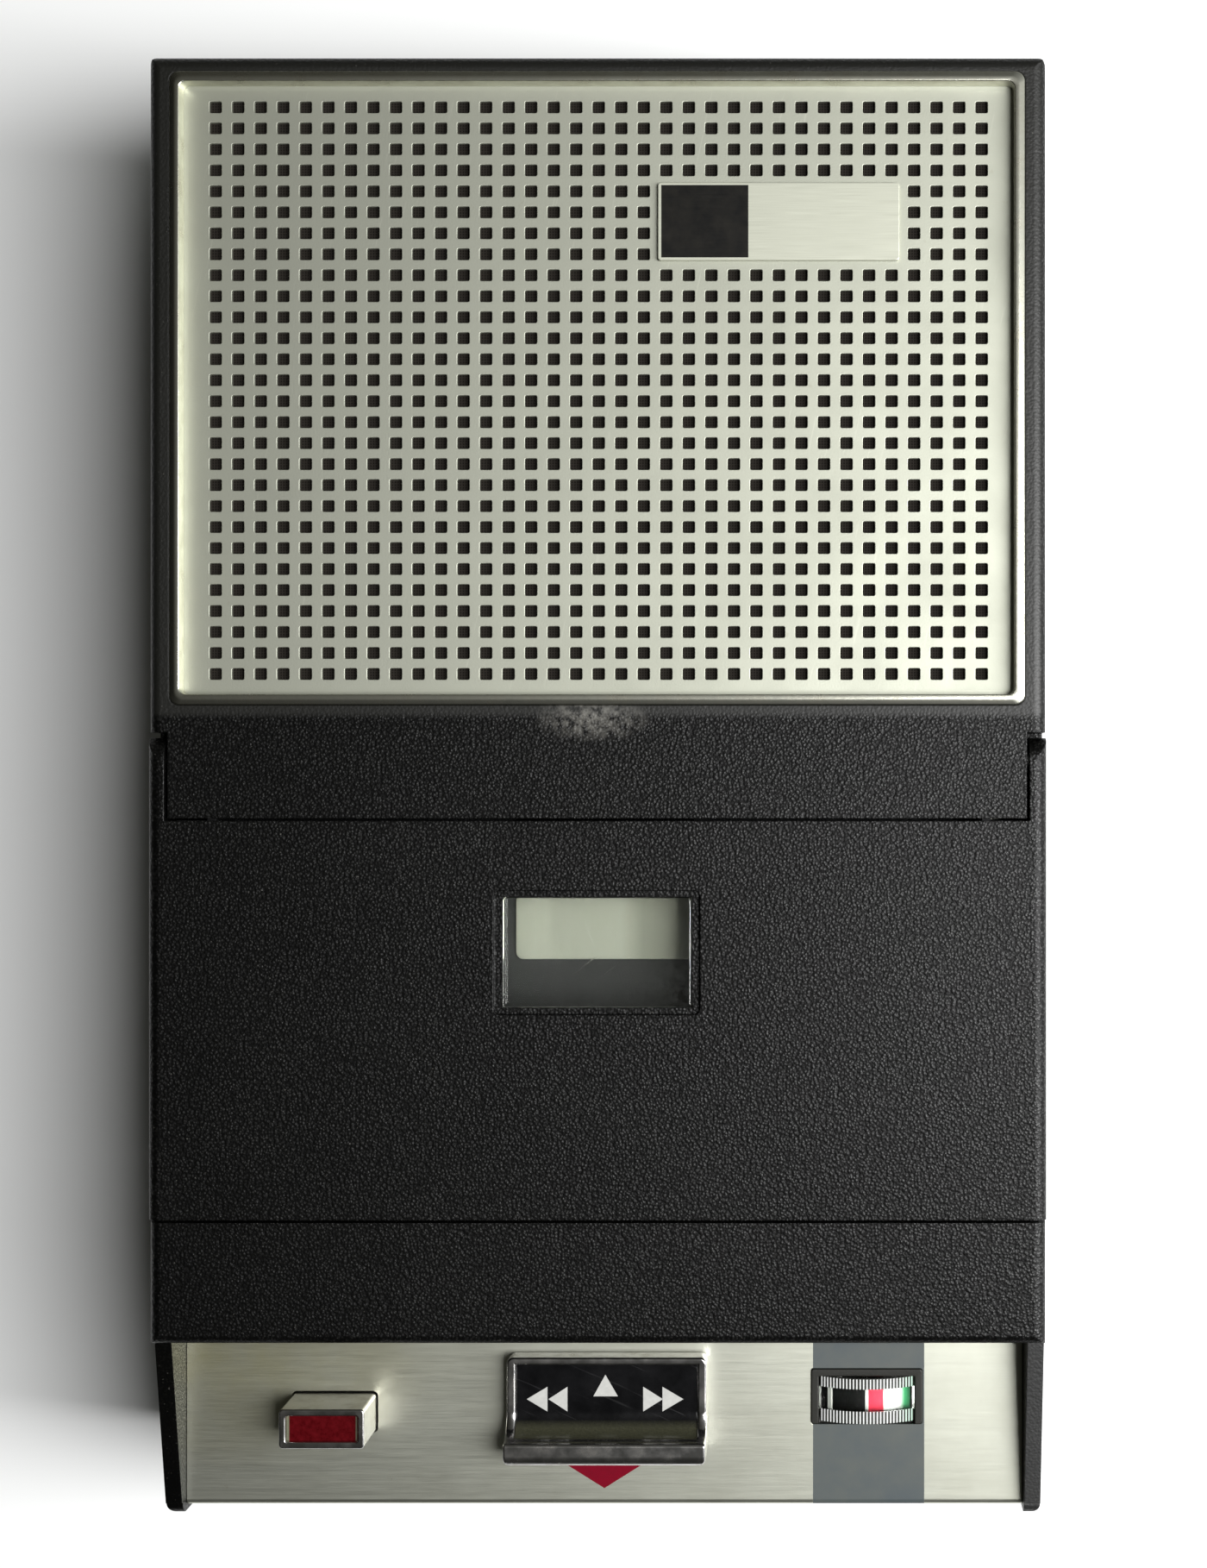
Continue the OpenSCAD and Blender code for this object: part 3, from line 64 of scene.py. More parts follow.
# Faces that bend less than the first angle are joined, edges over the second are rounded.
FLAT_ANGLE = math.radians(0.4)
ROUND_ANGLE = math.radians(32.0)
ROUND_STEPS = 3
log = logging.getLogger("recorder")

Colour = tuple[float, float, float]
Pair = tuple[float, float]
Triple = tuple[float, float, float]
Socket = bpy.types.NodeSocket
Outline = list[Pair]
Ring = list[bmesh.types.BMVert]


class Axis(Enum):
    """The direction that brushing runs in, as a stretch of the pattern's coordinates."""

    ALONG_X = (0.02, 1.0, 1.0)
    ALONG_Y = (1.0, 0.02, 1.0)


class Wiring:
    """A node tree while it is being built, with short calls for adding and linking nodes."""

    def __init__(self, tree: bpy.types.NodeTree) -> None:
        """Takes up a tree."""
        self.tree = tree

    def node(self, kind: str, *values: object, settings: dict[str, object] | None = None,
             **inputs: object) -> bpy.types.Node:
        """Adds a node, sets its properties and fills its inputs.

        Args:
            kind: The node's type name.
            *values: What each input gets, in order. None leaves an input alone.
            settings: The node's properties.
            **inputs: What an input gets, by its name with _ for a space.

        Returns:
            The new node.
        """
        made = self.tree.nodes.new(kind)
        for name, value in (settings or {}).items():
            setattr(made, name, value)
        for socket, value in zip(made.inputs, values):
            self.feed(socket, value)
        for name, value in inputs.items():
            self.feed(made.inputs[name.replace("_", " ")], value)
        return made

    def feed(self, socket: Socket, value: object) -> None:
        """Links a signal or a socket to an input, or sets the input to a plain value."""
        source = value.socket if isinstance(value, Signal) else value
        if isinstance(source, bpy.types.NodeSocket):
            self.tree.links.new(source, socket)
        elif isinstance(source, tuple) and len(source) == 3 and socket.type == "RGBA":
            socket.default_value = (*source, 1.0)
        elif source is not None:
            socket.default_value = source

    def parts(self, vector: Socket) -> list["Signal"]:
        """The three components of a vector."""
        return [Signal(self, out) for out in self.node("ShaderNodeSeparateXYZ", vector).outputs]

    def blend(self, share: object, a: object, b: object, way: str = "MIX") -> "Signal":
        """Two colours mixed by a share of 0 to 1 of the second one."""
        made = self.node("ShaderNodeMix", share, *[None] * 5, a, b,
                         settings={"data_type": "RGBA", "blend_type": way})
        return Signal(self, made.outputs[2])


@dataclass(frozen=True, eq=False)
class Signal:
    """A value inside a node tree. Arithmetic on it adds Math nodes."""

    wiring: Wiring
    socket: Socket

    def step(self, operation: str, other: object = None) -> "Signal":
        """One Math node on this value and another."""
        made = self.wiring.node("ShaderNodeMath", self, other, settings={"operation": operation})
        return Signal(self.wiring, made.outputs[0])

    def __add__(self, other: object) -> "Signal":
        """The sum of both."""
        return self.step("ADD", other)

    def __sub__(self, other: object) -> "Signal":
        """This value less another."""
        return self.step("SUBTRACT", other)

    def __rsub__(self, other: float) -> "Signal":
        """A number less this value."""
        return self.step("MULTIPLY", -1.0).step("ADD", other)

    def __mul__(self, other: object) -> "Signal":
        """The product of both."""
        return self.step("MULTIPLY", other)

    def over(self, other: object) -> "Signal":
        """The larger of both."""
        return self.step("MAXIMUM", other)

    def spread(self, low: float, high: float, to_low: float = 0.0,
               to_high: float = 1.0) -> "Signal":
        """The value brought from one range to another, held at its ends."""
        made = self.wiring.node("ShaderNodeMapRange", Value=self, From_Min=low, From_Max=high,
                                To_Min=to_low, To_Max=to_high)
        return Signal(self.wiring, made.outputs[0])

    def along(self, low: float, high: float, to_low: float = 0.0,
              to_high: float = 1.0) -> "Signal":
        """A coordinate spread between two places in millimetres."""
        return self.spread(low * MM, high * MM, to_low, to_high)

    def band(self, low: float, high: float, soft: float = 0.02) -> "Signal":
        """1 where a coordinate lies between two places in millimetres, 0 outside, soft edged."""
        return (self.along(low - soft, low + soft)
                * self.along(high - soft, high + soft, 1.0, 0.0))


class Sheet(Wiring):
    """One material while it is being wired, all of it on Object coordinates."""

    def __init__(self, name: str) -> None:
        """Starts a material of one Principled shader.

        Args:
            name: The material's name.
        """
        self.material = bpy.data.materials.new(name)
        self.material.use_nodes = True
        super().__init__(self.material.node_tree)
        self.tree.nodes.clear()
        self.out = self.node("ShaderNodeOutputMaterial")
        self.shader = self.node("ShaderNodeBsdfPrincipled")
        self.feed(self.out.inputs["Surface"], self.shader.outputs[0])
        self.place = self.node("ShaderNodeTexCoord").outputs["Object"]

    def set(self, **inputs: object) -> None:
        """Sets or links the Principled shader's own inputs."""
        for name, value in inputs.items():
            self.feed(self.shader.inputs[name.replace("_", " ")], value)

    def axes(self) -> list[Signal]:
        """The three Object coordinates."""
        return self.parts(self.place)

    def noise(self, size: float, detail: float = 3.0, rough: float = 0.55,
              stretch: Triple = (1, 1, 1), turn: float = 0.0, bend: float = 0.0) -> Signal:
        """Noise whose features are about `size` millimetres across.

        Args:
            size: Feature size in millimetres.
            detail: Octaves of finer noise.
            rough: Strength of the finer octaves.
            stretch: Scale of the coordinates on each axis, after the turn.
            turn: Degrees that the pattern is turned by about the upright axis.
            bend: Distortion of the pattern.

        Returns:
            The noise, about 0 to 1.
        """
        where = self.place
        if turn:
            where = self.node("ShaderNodeMapping", Vector=where,
                              Rotation=(0, 0, math.radians(turn))).outputs[0]
        where = self.node("ShaderNodeMapping", Vector=where, Scale=stretch).outputs[0]
        made = self.node("ShaderNodeTexNoise", Vector=where, Scale=1.0 / (size * MM),
                         Detail=detail, Roughness=rough, Distortion=bend)
        return Signal(self, made.outputs[0])

    def cells(self, size: float, random: float = 1.0, soft: float = 0.0) -> Signal:
        """Distance to the nearest cell point, for cells about `size` millimetres across."""
        made = self.node("ShaderNodeTexVoronoi", Vector=self.place, Scale=1.0 / (size * MM),
                         Randomness=random,
                         settings={"feature": "SMOOTH_F1" if soft else "F1"})
        if soft:
            self.feed(made.inputs["Smoothness"], soft)
        return Signal(self, made.outputs["Distance"])

    def bump(self, height: object, depth: float, strength: object = 1.0,
             below: Socket | None = None) -> Socket:
        """A normal from a height pattern whose full depth is some millimetres."""
        return self.node("ShaderNodeBump", Height=height, Strength=strength,
                         Distance=depth * MM, Normal=below).outputs[0]

    def rounded(self, radius: float) -> Socket:
        """A normal that rounds sharp edges to a radius in millimetres."""
        return self.node("ShaderNodeBevel", Radius=radius * MM,
                         settings={"samples": 6}).outputs[0]

    def spot(self, x: float, y: float, wide: float, deep: float) -> Signal:
        """A soft round spot, 1 at a point and 0 at the edge of an ellipse, in millimetres."""
        place = self.node("ShaderNodeMapping", Vector=self.place,
                          Location=(-x / wide, -y / deep, 0),
                          Scale=(1 / (wide * MM), 1 / (deep * MM), 0))
        made = self.node("ShaderNodeTexGradient", place.outputs[0],
                         settings={"gradient_type": "SPHERICAL"})
        return Signal(self, made.outputs["Fac"])


def toned(colour: Colour, gain: float, lift: float = 0.0) -> Colour:
    """A colour times a gain plus a lift, held under 1."""
    return tuple(min(1.0, c * gain + lift) for c in colour)


@dataclass(frozen=True)
class Finish:
    """What every finish has: a name and the way to make its material."""

    name: str

    def material(self) -> bpy.types.Material:
        """The finish's material, made once.

        Returns:
            The material that all pieces with this finish share.
        """
        known = bpy.data.materials.get(self.name)
        if known is not None:
            return known
        sheet = Sheet(self.name)
        self.wire(sheet)
        return sheet.material

    def wire(self, sheet: Sheet) -> None:
        """Wires the finish's nodes. Each finish has its own."""
        raise NotImplementedError


@dataclass(frozen=True)
class PebbleGrain(Finish):
    """Black moulding with a fine pebble grain, smoother at both ends, dusty and scuffed, with
    painted glints and a painted sheen.
    """

    colour: Colour = (0.0012, 0.0012, 0.0011)
    dusty: Colour = (0.010, 0.010, 0.008)
    # Colour of the scuffs, and of the pale specks that are painted glints.
    scratch_and_glint: Colour = (0.30, 0.29, 0.26)
    cell: float = 0.40
    depth: float = 0.056
    smooth_behind: float = 10.55
    smooth_before: float = -72.4
    scuff_at: Pair = (-0.6, 10.15)
    scuff_size: Pair = (8.0, 3.4)
    # Span across X over which the painted sheen on the front tops ramps up towards the right.
    sheen_ramp_x: Pair = (-45.0, 45.0)
    edge: float = 0.22

    def wire(self, sheet: Sheet) -> None:
        """Wires grain, dust in the grain, smudges, the smoother borders at both ends, pale specks
        painted as glints, and a painted sheen that rises to the right on the front tops.
        """
        x, y, _ = sheet.axes()
        facing = sheet.parts(sheet.node("ShaderNodeNewGeometry").outputs["Normal"])
        on_top = facing[2].spread(0.6, 0.95)
        behind = y.along(self.smooth_behind - 0.5, self.smooth_behind + 0.3)
        before = y.along(self.smooth_before - 0.3, self.smooth_before + 0.3, 1.0, 0.0)
        smooth = on_top * behind.over(before)
        front_top = on_top * before
        height = sheet.noise(self.cell * 0.8, 2.0) * 0.8 - sheet.cells(self.cell, soft=0.35)
        tops = height.spread(-0.12, 0.22)
        cloudy = sheet.noise(16.0, 4.0, 0.6)
        dust = cloudy.spread(0.38, 0.75) * (tops * 0.28)
        scuff = (sheet.spot(*self.scuff_at, *self.scuff_size)
                 * sheet.noise(1.3, 4.0, 0.7).spread(0.4, 0.62))
        # Pale specks put into the colour: painted glints standing in for the grain's tiny
        # highlights.
        fine = sheet.noise(0.35, 2.0, 0.5).spread(0.70, 0.78)
        settled = (smooth - front_top) * 0.55
        base = sheet.blend(dust.over(settled), self.colour, self.dusty)
        shine = tops * 0.26 + 0.15
        shine = smooth * (0.40 - shine) + shine
        # On the front tops the specular level ramps from dim at the left to strong at the right:
        # a painted sheen, brighter towards the lamp.
        shine = front_top * (x.along(*self.sheen_ramp_x, 0.06, 1.6) - shine) + shine
        sheet.set(
            Base_Color=sheet.blend((scuff * 0.5).over(fine * 0.2), base, self.scratch_and_glint),
            Roughness=cloudy * 0.08 + (smooth * 0.04 + 0.36),
            Specular_IOR_Level=shine,
            Normal=sheet.bump(height, self.depth, 1.0 - smooth * 0.60,
                              sheet.rounded(self.edge)))


@dataclass(frozen=True)
class Clouded(Finish):
    """Plain dark moulding of two tones in soft clouds, with a fine relief.

    `cloud` has the size, detail and roughness of the clouds, `mixed` the range that they are
    spread from, `rough` the gain and base of the roughness, and `relief` the size, depth and
    strength of the bumps. Without a `second` tone, `tone` has the gain and lift that make it.
    """

    colour: Colour = (0.008, 0.008, 0.0085)
    tone: Pair = (1.7, 0.003)
    second: Colour | None = None
    cloud: Triple = (9.0, 3.0, 0.55)
    mixed: Pair = (0.3, 0.8)
    rough: Pair = (0.15, 0.43)
    shine: float = 0.3
    relief: Triple = (0.25, 0.02, 0.8)
    edge: float | None = 0.15

    def wire(self, sheet: Sheet) -> None:
        """Wires the clouds, which also move the roughness, and the relief."""
        cloudy = sheet.noise(*self.cloud)
        size, depth, strength = self.relief
        gain, base = self.rough
        below = None if self.edge is None else sheet.rounded(self.edge)
        sheet.set(
            Base_Color=sheet.blend(cloudy.spread(*self.mixed), self.colour,
                                   self.second or toned(self.colour, *self.tone)),
            Roughness=cloudy * gain + base,
            Specular_IOR_Level=self.shine,
            Normal=sheet.bump(sheet.noise(size, 2.0), depth, strength, below))


@dataclass(frozen=True)
class Paint(Clouded):
    """A printed or painted mark, slightly worn."""

    colour: Colour = (0.44, 0.44, 0.42)
    tone: Pair = (0.82, 0.0)
    cloud: Triple = (0.9, 4.0, 0.6)
    mixed: Pair = (0.35, 0.8)
    rough: Pair = (0.2, 0.30)
    shine: float = 0.15
    relief: Triple = (0.3, 0.006, 0.6)
    edge: float | None = None


@dataclass(frozen=True)
class SoftRubber(Clouded):
    """Ground or moulded black rubber with a dusty surface."""

    colour: Colour = (0.014, 0.014, 0.014)
    second: Colour | None = (0.05, 0.049, 0.046)
    cloud: Triple = (1.5, 4.0, 0.65)
    mixed: Pair = (0.4, 0.8)
    rough: Pair = (0.15, 0.65)
    shine: float = 0.5
    relief: Triple = (0.2, 0.02, 0.6)
    edge: float | None = 0.12


@dataclass(frozen=True)
class GlossMoulding(Finish):
    """Polished moulding with faint handling marks, and room for a painted reflection band."""

    colour: Colour = (0.0016, 0.0016, 0.0020)
    roughness: float = 0.16
    # Span along Y of a painted reflection band.
    worn: Pair | None = None

    def wire(self, sheet: Sheet) -> None:
        """Wires clouded gloss with hairline scratches, and a pale olive band that is a painted
        reflection.
        """
        cloudy = sheet.noise(4.0, 4.0, 0.6)
        hair = sheet.noise(0.5, 2.0, 0.5, (0.04, 1, 1), 24).spread(0.62, 0.72)
        colour = sheet.blend(cloudy.spread(0.35, 0.75), self.colour,
                             toned(self.colour, 1.8, 0.001))
        # A mottled pale olive band across Y: a painted reflection in the key's concave rise
        # before the bar.
        if self.worn is not None:
            band_mottle = sheet.noise(0.25, 4.0, 0.7).spread(0.3, 0.65, 0.55, 1.0)
            dull = sheet.axes()[1].band(*self.worn, 0.5) * band_mottle
            colour = sheet.blend(dull, colour, (0.042, 0.042, 0.026))
        sheet.set(Base_Color=colour,
                  Roughness=cloudy * 0.2 + (hair * 0.15 + (self.roughness - 0.06)),
                  Normal=sheet.bump(sheet.noise(0.6, 3.0), 0.01, 0.5))


@dataclass(frozen=True)
class SatinPressing(Finish):
    """Aluminium pressing with a satin surface, a little stained."""

    colour: Colour = (0.44, 0.45, 0.38)
    stain: Colour = (0.31, 0.29, 0.22)
    scratch: Colour = (0.60, 0.60, 0.52)
    roughness: float = 0.53

    def wire(self, sheet: Sheet) -> None:
        """Wires a blasted surface, soft clouds and small stains."""
        cloudy = sheet.noise(11.0, 5.0, 0.6)
        spots = sheet.noise(2.2, 5.0, 0.65).spread(0.66, 0.80)
        hair = sheet.noise(0.4, 2.0, 0.5, (1, 0.05, 1), 12).spread(0.68, 0.78)
        clean = sheet.blend(cloudy.spread(0.35, 0.7), self.colour, toned(self.colour, 0.90))
        stained = sheet.blend(spots * 0.5, clean, self.stain)
        sheet.set(Base_Color=sheet.blend(hair * 0.25, stained, self.scratch),
                  Metallic=1.0,
                  Roughness=cloudy * 0.14 + (self.roughness - 0.06),
                  Normal=sheet.bump(sheet.noise(0.22, 2.0), 0.012, 0.8))


@dataclass(frozen=True)
class PolishedRim(Finish):
    """Bright-rolled aluminium rim with dings and haze."""

    colour: Colour = (0.66, 0.66, 0.57)
    hazed: Colour = (0.44, 0.42, 0.34)
    satin: Colour = (0.43, 0.44, 0.37)
    roughness: float = 0.26
    foot: Pair = (52.66, 52.80)

    def wire(self, sheet: Sheet) -> None:
        """Wires haze and dings, and a satin foot where the rim meets the plate."""
        haze = sheet.noise(3.5, 5.0, 0.65)
        ding = sheet.noise(1.1, 3.0, 0.6).spread(0.72, 0.80)
        low = sheet.axes()[2].along(*self.foot, 1.0, 0.0)
        bright = sheet.blend(haze.spread(0.4, 0.8), self.colour, self.hazed)
        sheet.set(Base_Color=sheet.blend(low, bright, self.satin),
                  Metallic=1.0,
                  Roughness=low * 0.29 + (haze * 0.10 + (self.roughness - 0.05)),
                  Normal=sheet.bump(sheet.noise(1.2, 3.0) + ding, 0.016, 0.5))


@dataclass(frozen=True)
class BrushedSheet(Finish):
    """Brushed aluminium sheet, spotted with age, with room for one painted stripe, a painted
    shadow over one side and painted black shade at the rear.
    """

    colour: Colour = (0.595, 0.605, 0.52)
    aged: Colour = (0.46, 0.46, 0.38)
    spotted: Colour = (0.32, 0.27, 0.18)
    tarnished: Colour = (0.55, 0.53, 0.34)
    # Colour of a painted shadow over one side of the sheet.
    painted_shadow_tint: Colour = (0.12, 0.12, 0.09)
    # Colour of painted black shade at the rear of the sheet.
    painted_shade_tint: Colour = (0.01, 0.01, 0.01)
    paint: Colour = (0.045, 0.058, 0.065)
    paint_worn: Colour = (0.075, 0.082, 0.072)
    grain: Axis = Axis.ALONG_X
    roughness: float = 0.385
    stripe: Pair | None = None
    stained: Pair | None = None
    stain_size: Pair = (34.0, 16.0)
    shadow_from: float | None = None
    dark_behind: float | None = None
    edge: float = 0.12

    def wire(self, sheet: Sheet) -> None:
        """Wires brushing, clouds, stains, the painted stripe, a painted shadow over one side and
        painted black shade at the rear.
        """
        x, y, _ = sheet.axes()
        cloudy = sheet.noise(8.0, 5.0, 0.62)
        spots = sheet.noise(1.3, 5.0, 0.7).spread(0.68, 0.80)
        streak = (sheet.noise(0.10, 4.0, 0.7, self.grain.value) * 0.65
                  + sheet.noise(0.55, 3.0, 0.6, self.grain.value) * 0.35)
        metal = sheet.blend(streak.spread(0.3, 0.7), toned(self.colour, 0.92), self.colour)
        metal = sheet.blend(cloudy.spread(0.42, 0.7) * 0.35, metal, self.aged)
        metal = sheet.blend(spots * 0.45, metal, self.spotted)
        if self.stained is not None:
            tarnish = (sheet.spot(*self.stained, *self.stain_size)
                       * cloudy.spread(0.25, 0.6, 0.4, 1.0))
            metal = sheet.blend(tarnish, metal, self.tarnished)
        # Painted shadow: darker to the right of a line across X, where the window's right wall
        # shades the tongue.
        if self.shadow_from is not None:
            dull = x.along(self.shadow_from - 1.5, self.shadow_from + 1.5, 0.0, 0.45)
            metal = sheet.blend(dull, metal, self.painted_shadow_tint)
        # Painted shade: near black behind a line across Y, where the tongue lies in shade under
        # the hinge band.
        if self.dark_behind is not None:
            dark = y.along(self.dark_behind, self.dark_behind + 1.0)
            metal = sheet.blend(dark, metal, self.painted_shade_tint)
        roughness = streak * 0.22 + (self.roughness - 0.10)
        sheet.set(Base_Color=metal, Metallic=1.0, Roughness=roughness,
                  Normal=sheet.bump(streak, 0.0045, 0.7, sheet.rounded(self.edge)))
        if self.stripe is not None:
            worn = sheet.noise(0.5, 4.0, 0.7).spread(0.72, 0.80, 1.0, 0.4)
            share = x.band(*self.stripe) * worn
            paint = sheet.blend(cloudy.spread(0.3, 0.75), self.paint, self.paint_worn)
            sheet.set(Base_Color=sheet.blend(share, metal, paint), Metallic=1.0 - share,
                      Roughness=roughness + share * 0.06)


@dataclass(frozen=True)
class BrightPlating(Finish):
    """Chromium plating with a little haze and finger grease."""

    colour: Colour = (0.66, 0.65, 0.65)
    smudged: Colour = (0.40, 0.38, 0.34)
    roughness: float = 0.17

    def wire(self, sheet: Sheet) -> None:
        """Wires smudged, slightly rippled plating."""
        smudge = sheet.noise(2.6, 5.0, 0.62)
        sheet.set(Base_Color=sheet.blend(smudge.spread(0.45, 0.8), self.colour, self.smudged),
                  Metallic=1.0,
                  Roughness=smudge.spread(0.4, 0.8, 0.0, 0.16) + self.roughness,
                  Normal=sheet.bump(sheet.noise(1.5, 2.0), 0.015, 0.5))


@dataclass(frozen=True)
class MachineMetal(Finish):
    """Plated, turned or bare metal of the works."""

    colour: Colour = (0.60, 0.59, 0.56)
    roughness: float = 0.33
    edge: float = 0.12

    def wire(self, sheet: Sheet) -> None:
        """Wires passivated clouds and fine tooling marks."""
        cloudy = sheet.noise(3.0, 4.0, 0.6)
        lines = sheet.noise(0.18, 3.0, 0.6)
        sheet.set(Base_Color=sheet.blend(cloudy.spread(0.35, 0.75), self.colour,
                                         toned(self.colour, 0.68)),
                  Metallic=1.0,
                  Roughness=lines * 0.22 + (self.roughness - 0.09),
                  Normal=sheet.bump(lines, 0.008, 0.7, sheet.rounded(self.edge)))


@dataclass(frozen=True)
class RedCap(Finish):
    """Deep red face of the record button, mottled by use."""

    colour: Colour = (0.075, 0.001, 0.003)
    worn: Colour = (0.045, 0.001, 0.002)
    border: Colour = (0.11, 0.11, 0.075)
    span: Pair = (-40.95, -32.15)

    def wire(self, sheet: Sheet) -> None:
        """Wires mottled red gloss between two dull ends."""
        mottle = sheet.noise(0.7, 5.0, 0.7)
        red = sheet.blend(mottle.spread(0.36, 0.66), self.worn, self.colour)
        sheet.set(Base_Color=sheet.blend(sheet.axes()[0].band(*self.span, 0.06),
                                         self.border, red),
                  Roughness=mottle.spread(0.3, 0.7, 0.22, 0.4),
                  Specular_IOR_Level=0.15,
                  Normal=sheet.bump(mottle, 0.02, 0.6))


@dataclass(frozen=True)
class ClearMoulding(Finish):
    """Clear acrylic that lets the lamp through, with hairlines and a star-shaped scratch."""

    tint: Colour = (0.80, 0.82, 0.79)
    roughness: float = 0.03
    star: Pair | None = None
    star_size: Pair = (8.0, 6.0)

    def wire(self, sheet: Sheet) -> None:
        """Wires clear plastic whose shadow rays pass through it."""
        sheet.set(Base_Color=self.tint, IOR=1.49, Transmission_Weight=1.0)
        if self.star is None:
            haze = sheet.noise(3.0, 5.0, 0.6)
            sheet.set(Roughness=haze.spread(0.4, 0.8, self.roughness, self.roughness + 0.05))
        else:
            dust = sheet.noise(0.6, 5.0, 0.75).spread(0.42, 0.72, 1.0, 0.985)
            hair = sheet.noise(0.35, 2.0, 0.5, (0.03, 1, 1), -38).spread(0.62, 0.70)
            more = sheet.noise(0.30, 2.0, 0.5, (1, 0.03, 1), -22).spread(0.66, 0.74)
            near = sheet.spot(*self.star, *self.star_size).spread(0.05, 0.6)
            sheet.set(Transmission_Weight=dust,
                      Roughness=hair.over(more) * near * 0.22 + self.roughness)
        clear = sheet.node("ShaderNodeBsdfTransparent", self.tint)
        path = sheet.node("ShaderNodeLightPath")
        mix = sheet.node("ShaderNodeMixShader", path.outputs["Is Shadow Ray"],
                         sheet.shader.outputs[0], clear.outputs[0])
        sheet.feed(sheet.out.inputs["Surface"], mix.outputs[0])


@dataclass(frozen=True)
class LoudspeakerCloth(Finish):
    """Dark open weave behind the holes. `period` is the wave pattern's own, at scale 1."""

    colour: Colour = (0.015, 0.0125, 0.010)
    thread: float = 0.36
    period: float = 0.314

    def wire(self, sheet: Sheet) -> None:
        """Wires a plain weave of two sets of threads."""
        warp, weft = (Signal(sheet, sheet.node(
            "ShaderNodeTexWave", Vector=sheet.place, Distortion=0.6,
            Scale=self.period / (self.thread * MM),
            settings={"bands_direction": direction}).outputs["Fac"]) for direction in "XY")
        weave = warp.over(weft)
        sheet.set(Base_Color=sheet.blend(weave, toned(self.colour, 0.4), self.colour),
                  Roughness=weave.spread(0.0, 1.0, 0.95, 0.8),
                  Specular_IOR_Level=0.12,
                  Normal=sheet.bump(weave, 0.1, 0.9))


@dataclass(frozen=True)
class TwoToneBadge(Finish):
    """Bare badge plate, black enamel at its left and satin metal at its right."""

    seam: float
    edges: tuple[float, float, float, float]
    border: Pair = (0.45, 0.35)

    def wire(self, sheet: Sheet) -> None:
        """Wires the enamel field, its fine metal border and the satin field."""
        x, y, _ = sheet.axes()
        x0, _, y0, y1 = self.edges
        side, end = self.border
        enamel = x.band(x0 + side, self.seam, 0.03) * y.band(y0 + end, y1 - end, 0.03)
        cloudy = sheet.noise(2.0, 4.0, 0.6)
        lines = sheet.noise(0.12, 3.0, 0.6, Axis.ALONG_X.value)
        metal = sheet.blend(lines, (0.50, 0.51, 0.42), (0.62, 0.63, 0.53))
        ink = sheet.blend(cloudy.spread(0.3, 0.8), (0.004, 0.004, 0.004),
                          (0.012, 0.011, 0.009))
        sheet.set(Base_Color=sheet.blend(enamel, metal, ink),
                  Metallic=(1.0 - enamel) * 0.45,
                  Roughness=lines * 0.15 + 0.26,
                  Specular_IOR_Level=enamel * -0.25 + 0.5,
                  Normal=sheet.bump(enamel, 0.02, 0.4))


@dataclass(frozen=True)
class MeterScale(Finish):
    """Printed strip of the level meter: black field, white line, red, white and green."""

    fields: tuple[tuple[float, float, Colour], ...] = (
        (35.42, 0.03, (0.45, 0.45, 0.43)), (35.85, 0.03, (0.62, 0.03, 0.06)),
        (37.87, 0.08, (0.90, 0.92, 0.88)), (40.35, 0.35, (0.08, 0.55, 0.22)))

    def wire(self, sheet: Sheet) -> None:
        """Wires the colour fields along the strip, each from its place and its fade."""
        x = sheet.axes()[0]
        colour: object = (0.004, 0.004, 0.004)
        for start, fade, after in self.fields:
            colour = sheet.blend(x.along(start - fade, start + fade), colour, after)
        paper = sheet.noise(0.4, 3.0)
        sheet.set(Base_Color=sheet.blend(paper * 0.4, colour, (0.8, 0.8, 0.8), "MULTIPLY"),
                  Roughness=paper.spread(0.3, 0.7, 0.4, 0.55),
                  Specular_IOR_Level=0.1)


@dataclass(frozen=True)
class RibbedEdge(Finish):
    """Milky ribbed edge of the meter's lens, white on the ribs, with painted grey shade between
    them and a painted green glow over the green field.
    """

    centre: Pair
    crest: float
    groove_shade_below_crest: Pair = (0.12, 0.05)
    green_from: Pair = (39.6, 41.6)

    def wire(self, sheet: Sheet) -> None:
        """Wires two tones by the distance from the arch's centre, the grey one painted shade in
        the grooves, and a painted green glow from the green field.
        """
        x, _, z = sheet.axes()
        across, up = x - self.centre[0] * MM, z - self.centre[1] * MM
        reach = (across * across + up * up).step("SQRT")
        # Grey in the grooves is painted shade, set by depth below the crest; the ribs are milk
        # white.
        on_rib = reach.along(*(self.crest - drop for drop in self.groove_shade_below_crest))
        # Near the green field the milk takes a painted green glow, standing in for that field's
        # light through the ribs.
        milk = sheet.blend(x.along(*self.green_from, 0.0, 0.5), (0.62, 0.63, 0.62),
                           (0.22, 0.62, 0.36))
        sheet.set(Base_Color=sheet.blend(on_rib, (0.05, 0.052, 0.045), milk),
                  Roughness=sheet.noise(0.5, 3.0).spread(0.3, 0.7, 0.22, 0.38),
                  Normal=sheet.bump(sheet.noise(0.2, 2.0), 0.01, 0.5))


@dataclass(frozen=True)
class BoardLaminate(Finish):
    """Brown laminate of the circuit board with copper lands showing through."""

    colour: Colour = (0.30, 0.17, 0.06)
    copper: Colour = (0.42, 0.22, 0.08)

    def wire(self, sheet: Sheet) -> None:
        """Wires the laminate's weave and darker lands."""
        lands = sheet.cells(5.0, 0.7).spread(0.25, 0.32)
        sheet.set(Base_Color=sheet.blend(lands * 0.5, self.colour, self.copper),
                  Roughness=sheet.noise(5.0, 4.0).spread(0.3, 0.7, 0.35, 0.5),
                  Normal=sheet.bump(lands, 0.03, 0.4))


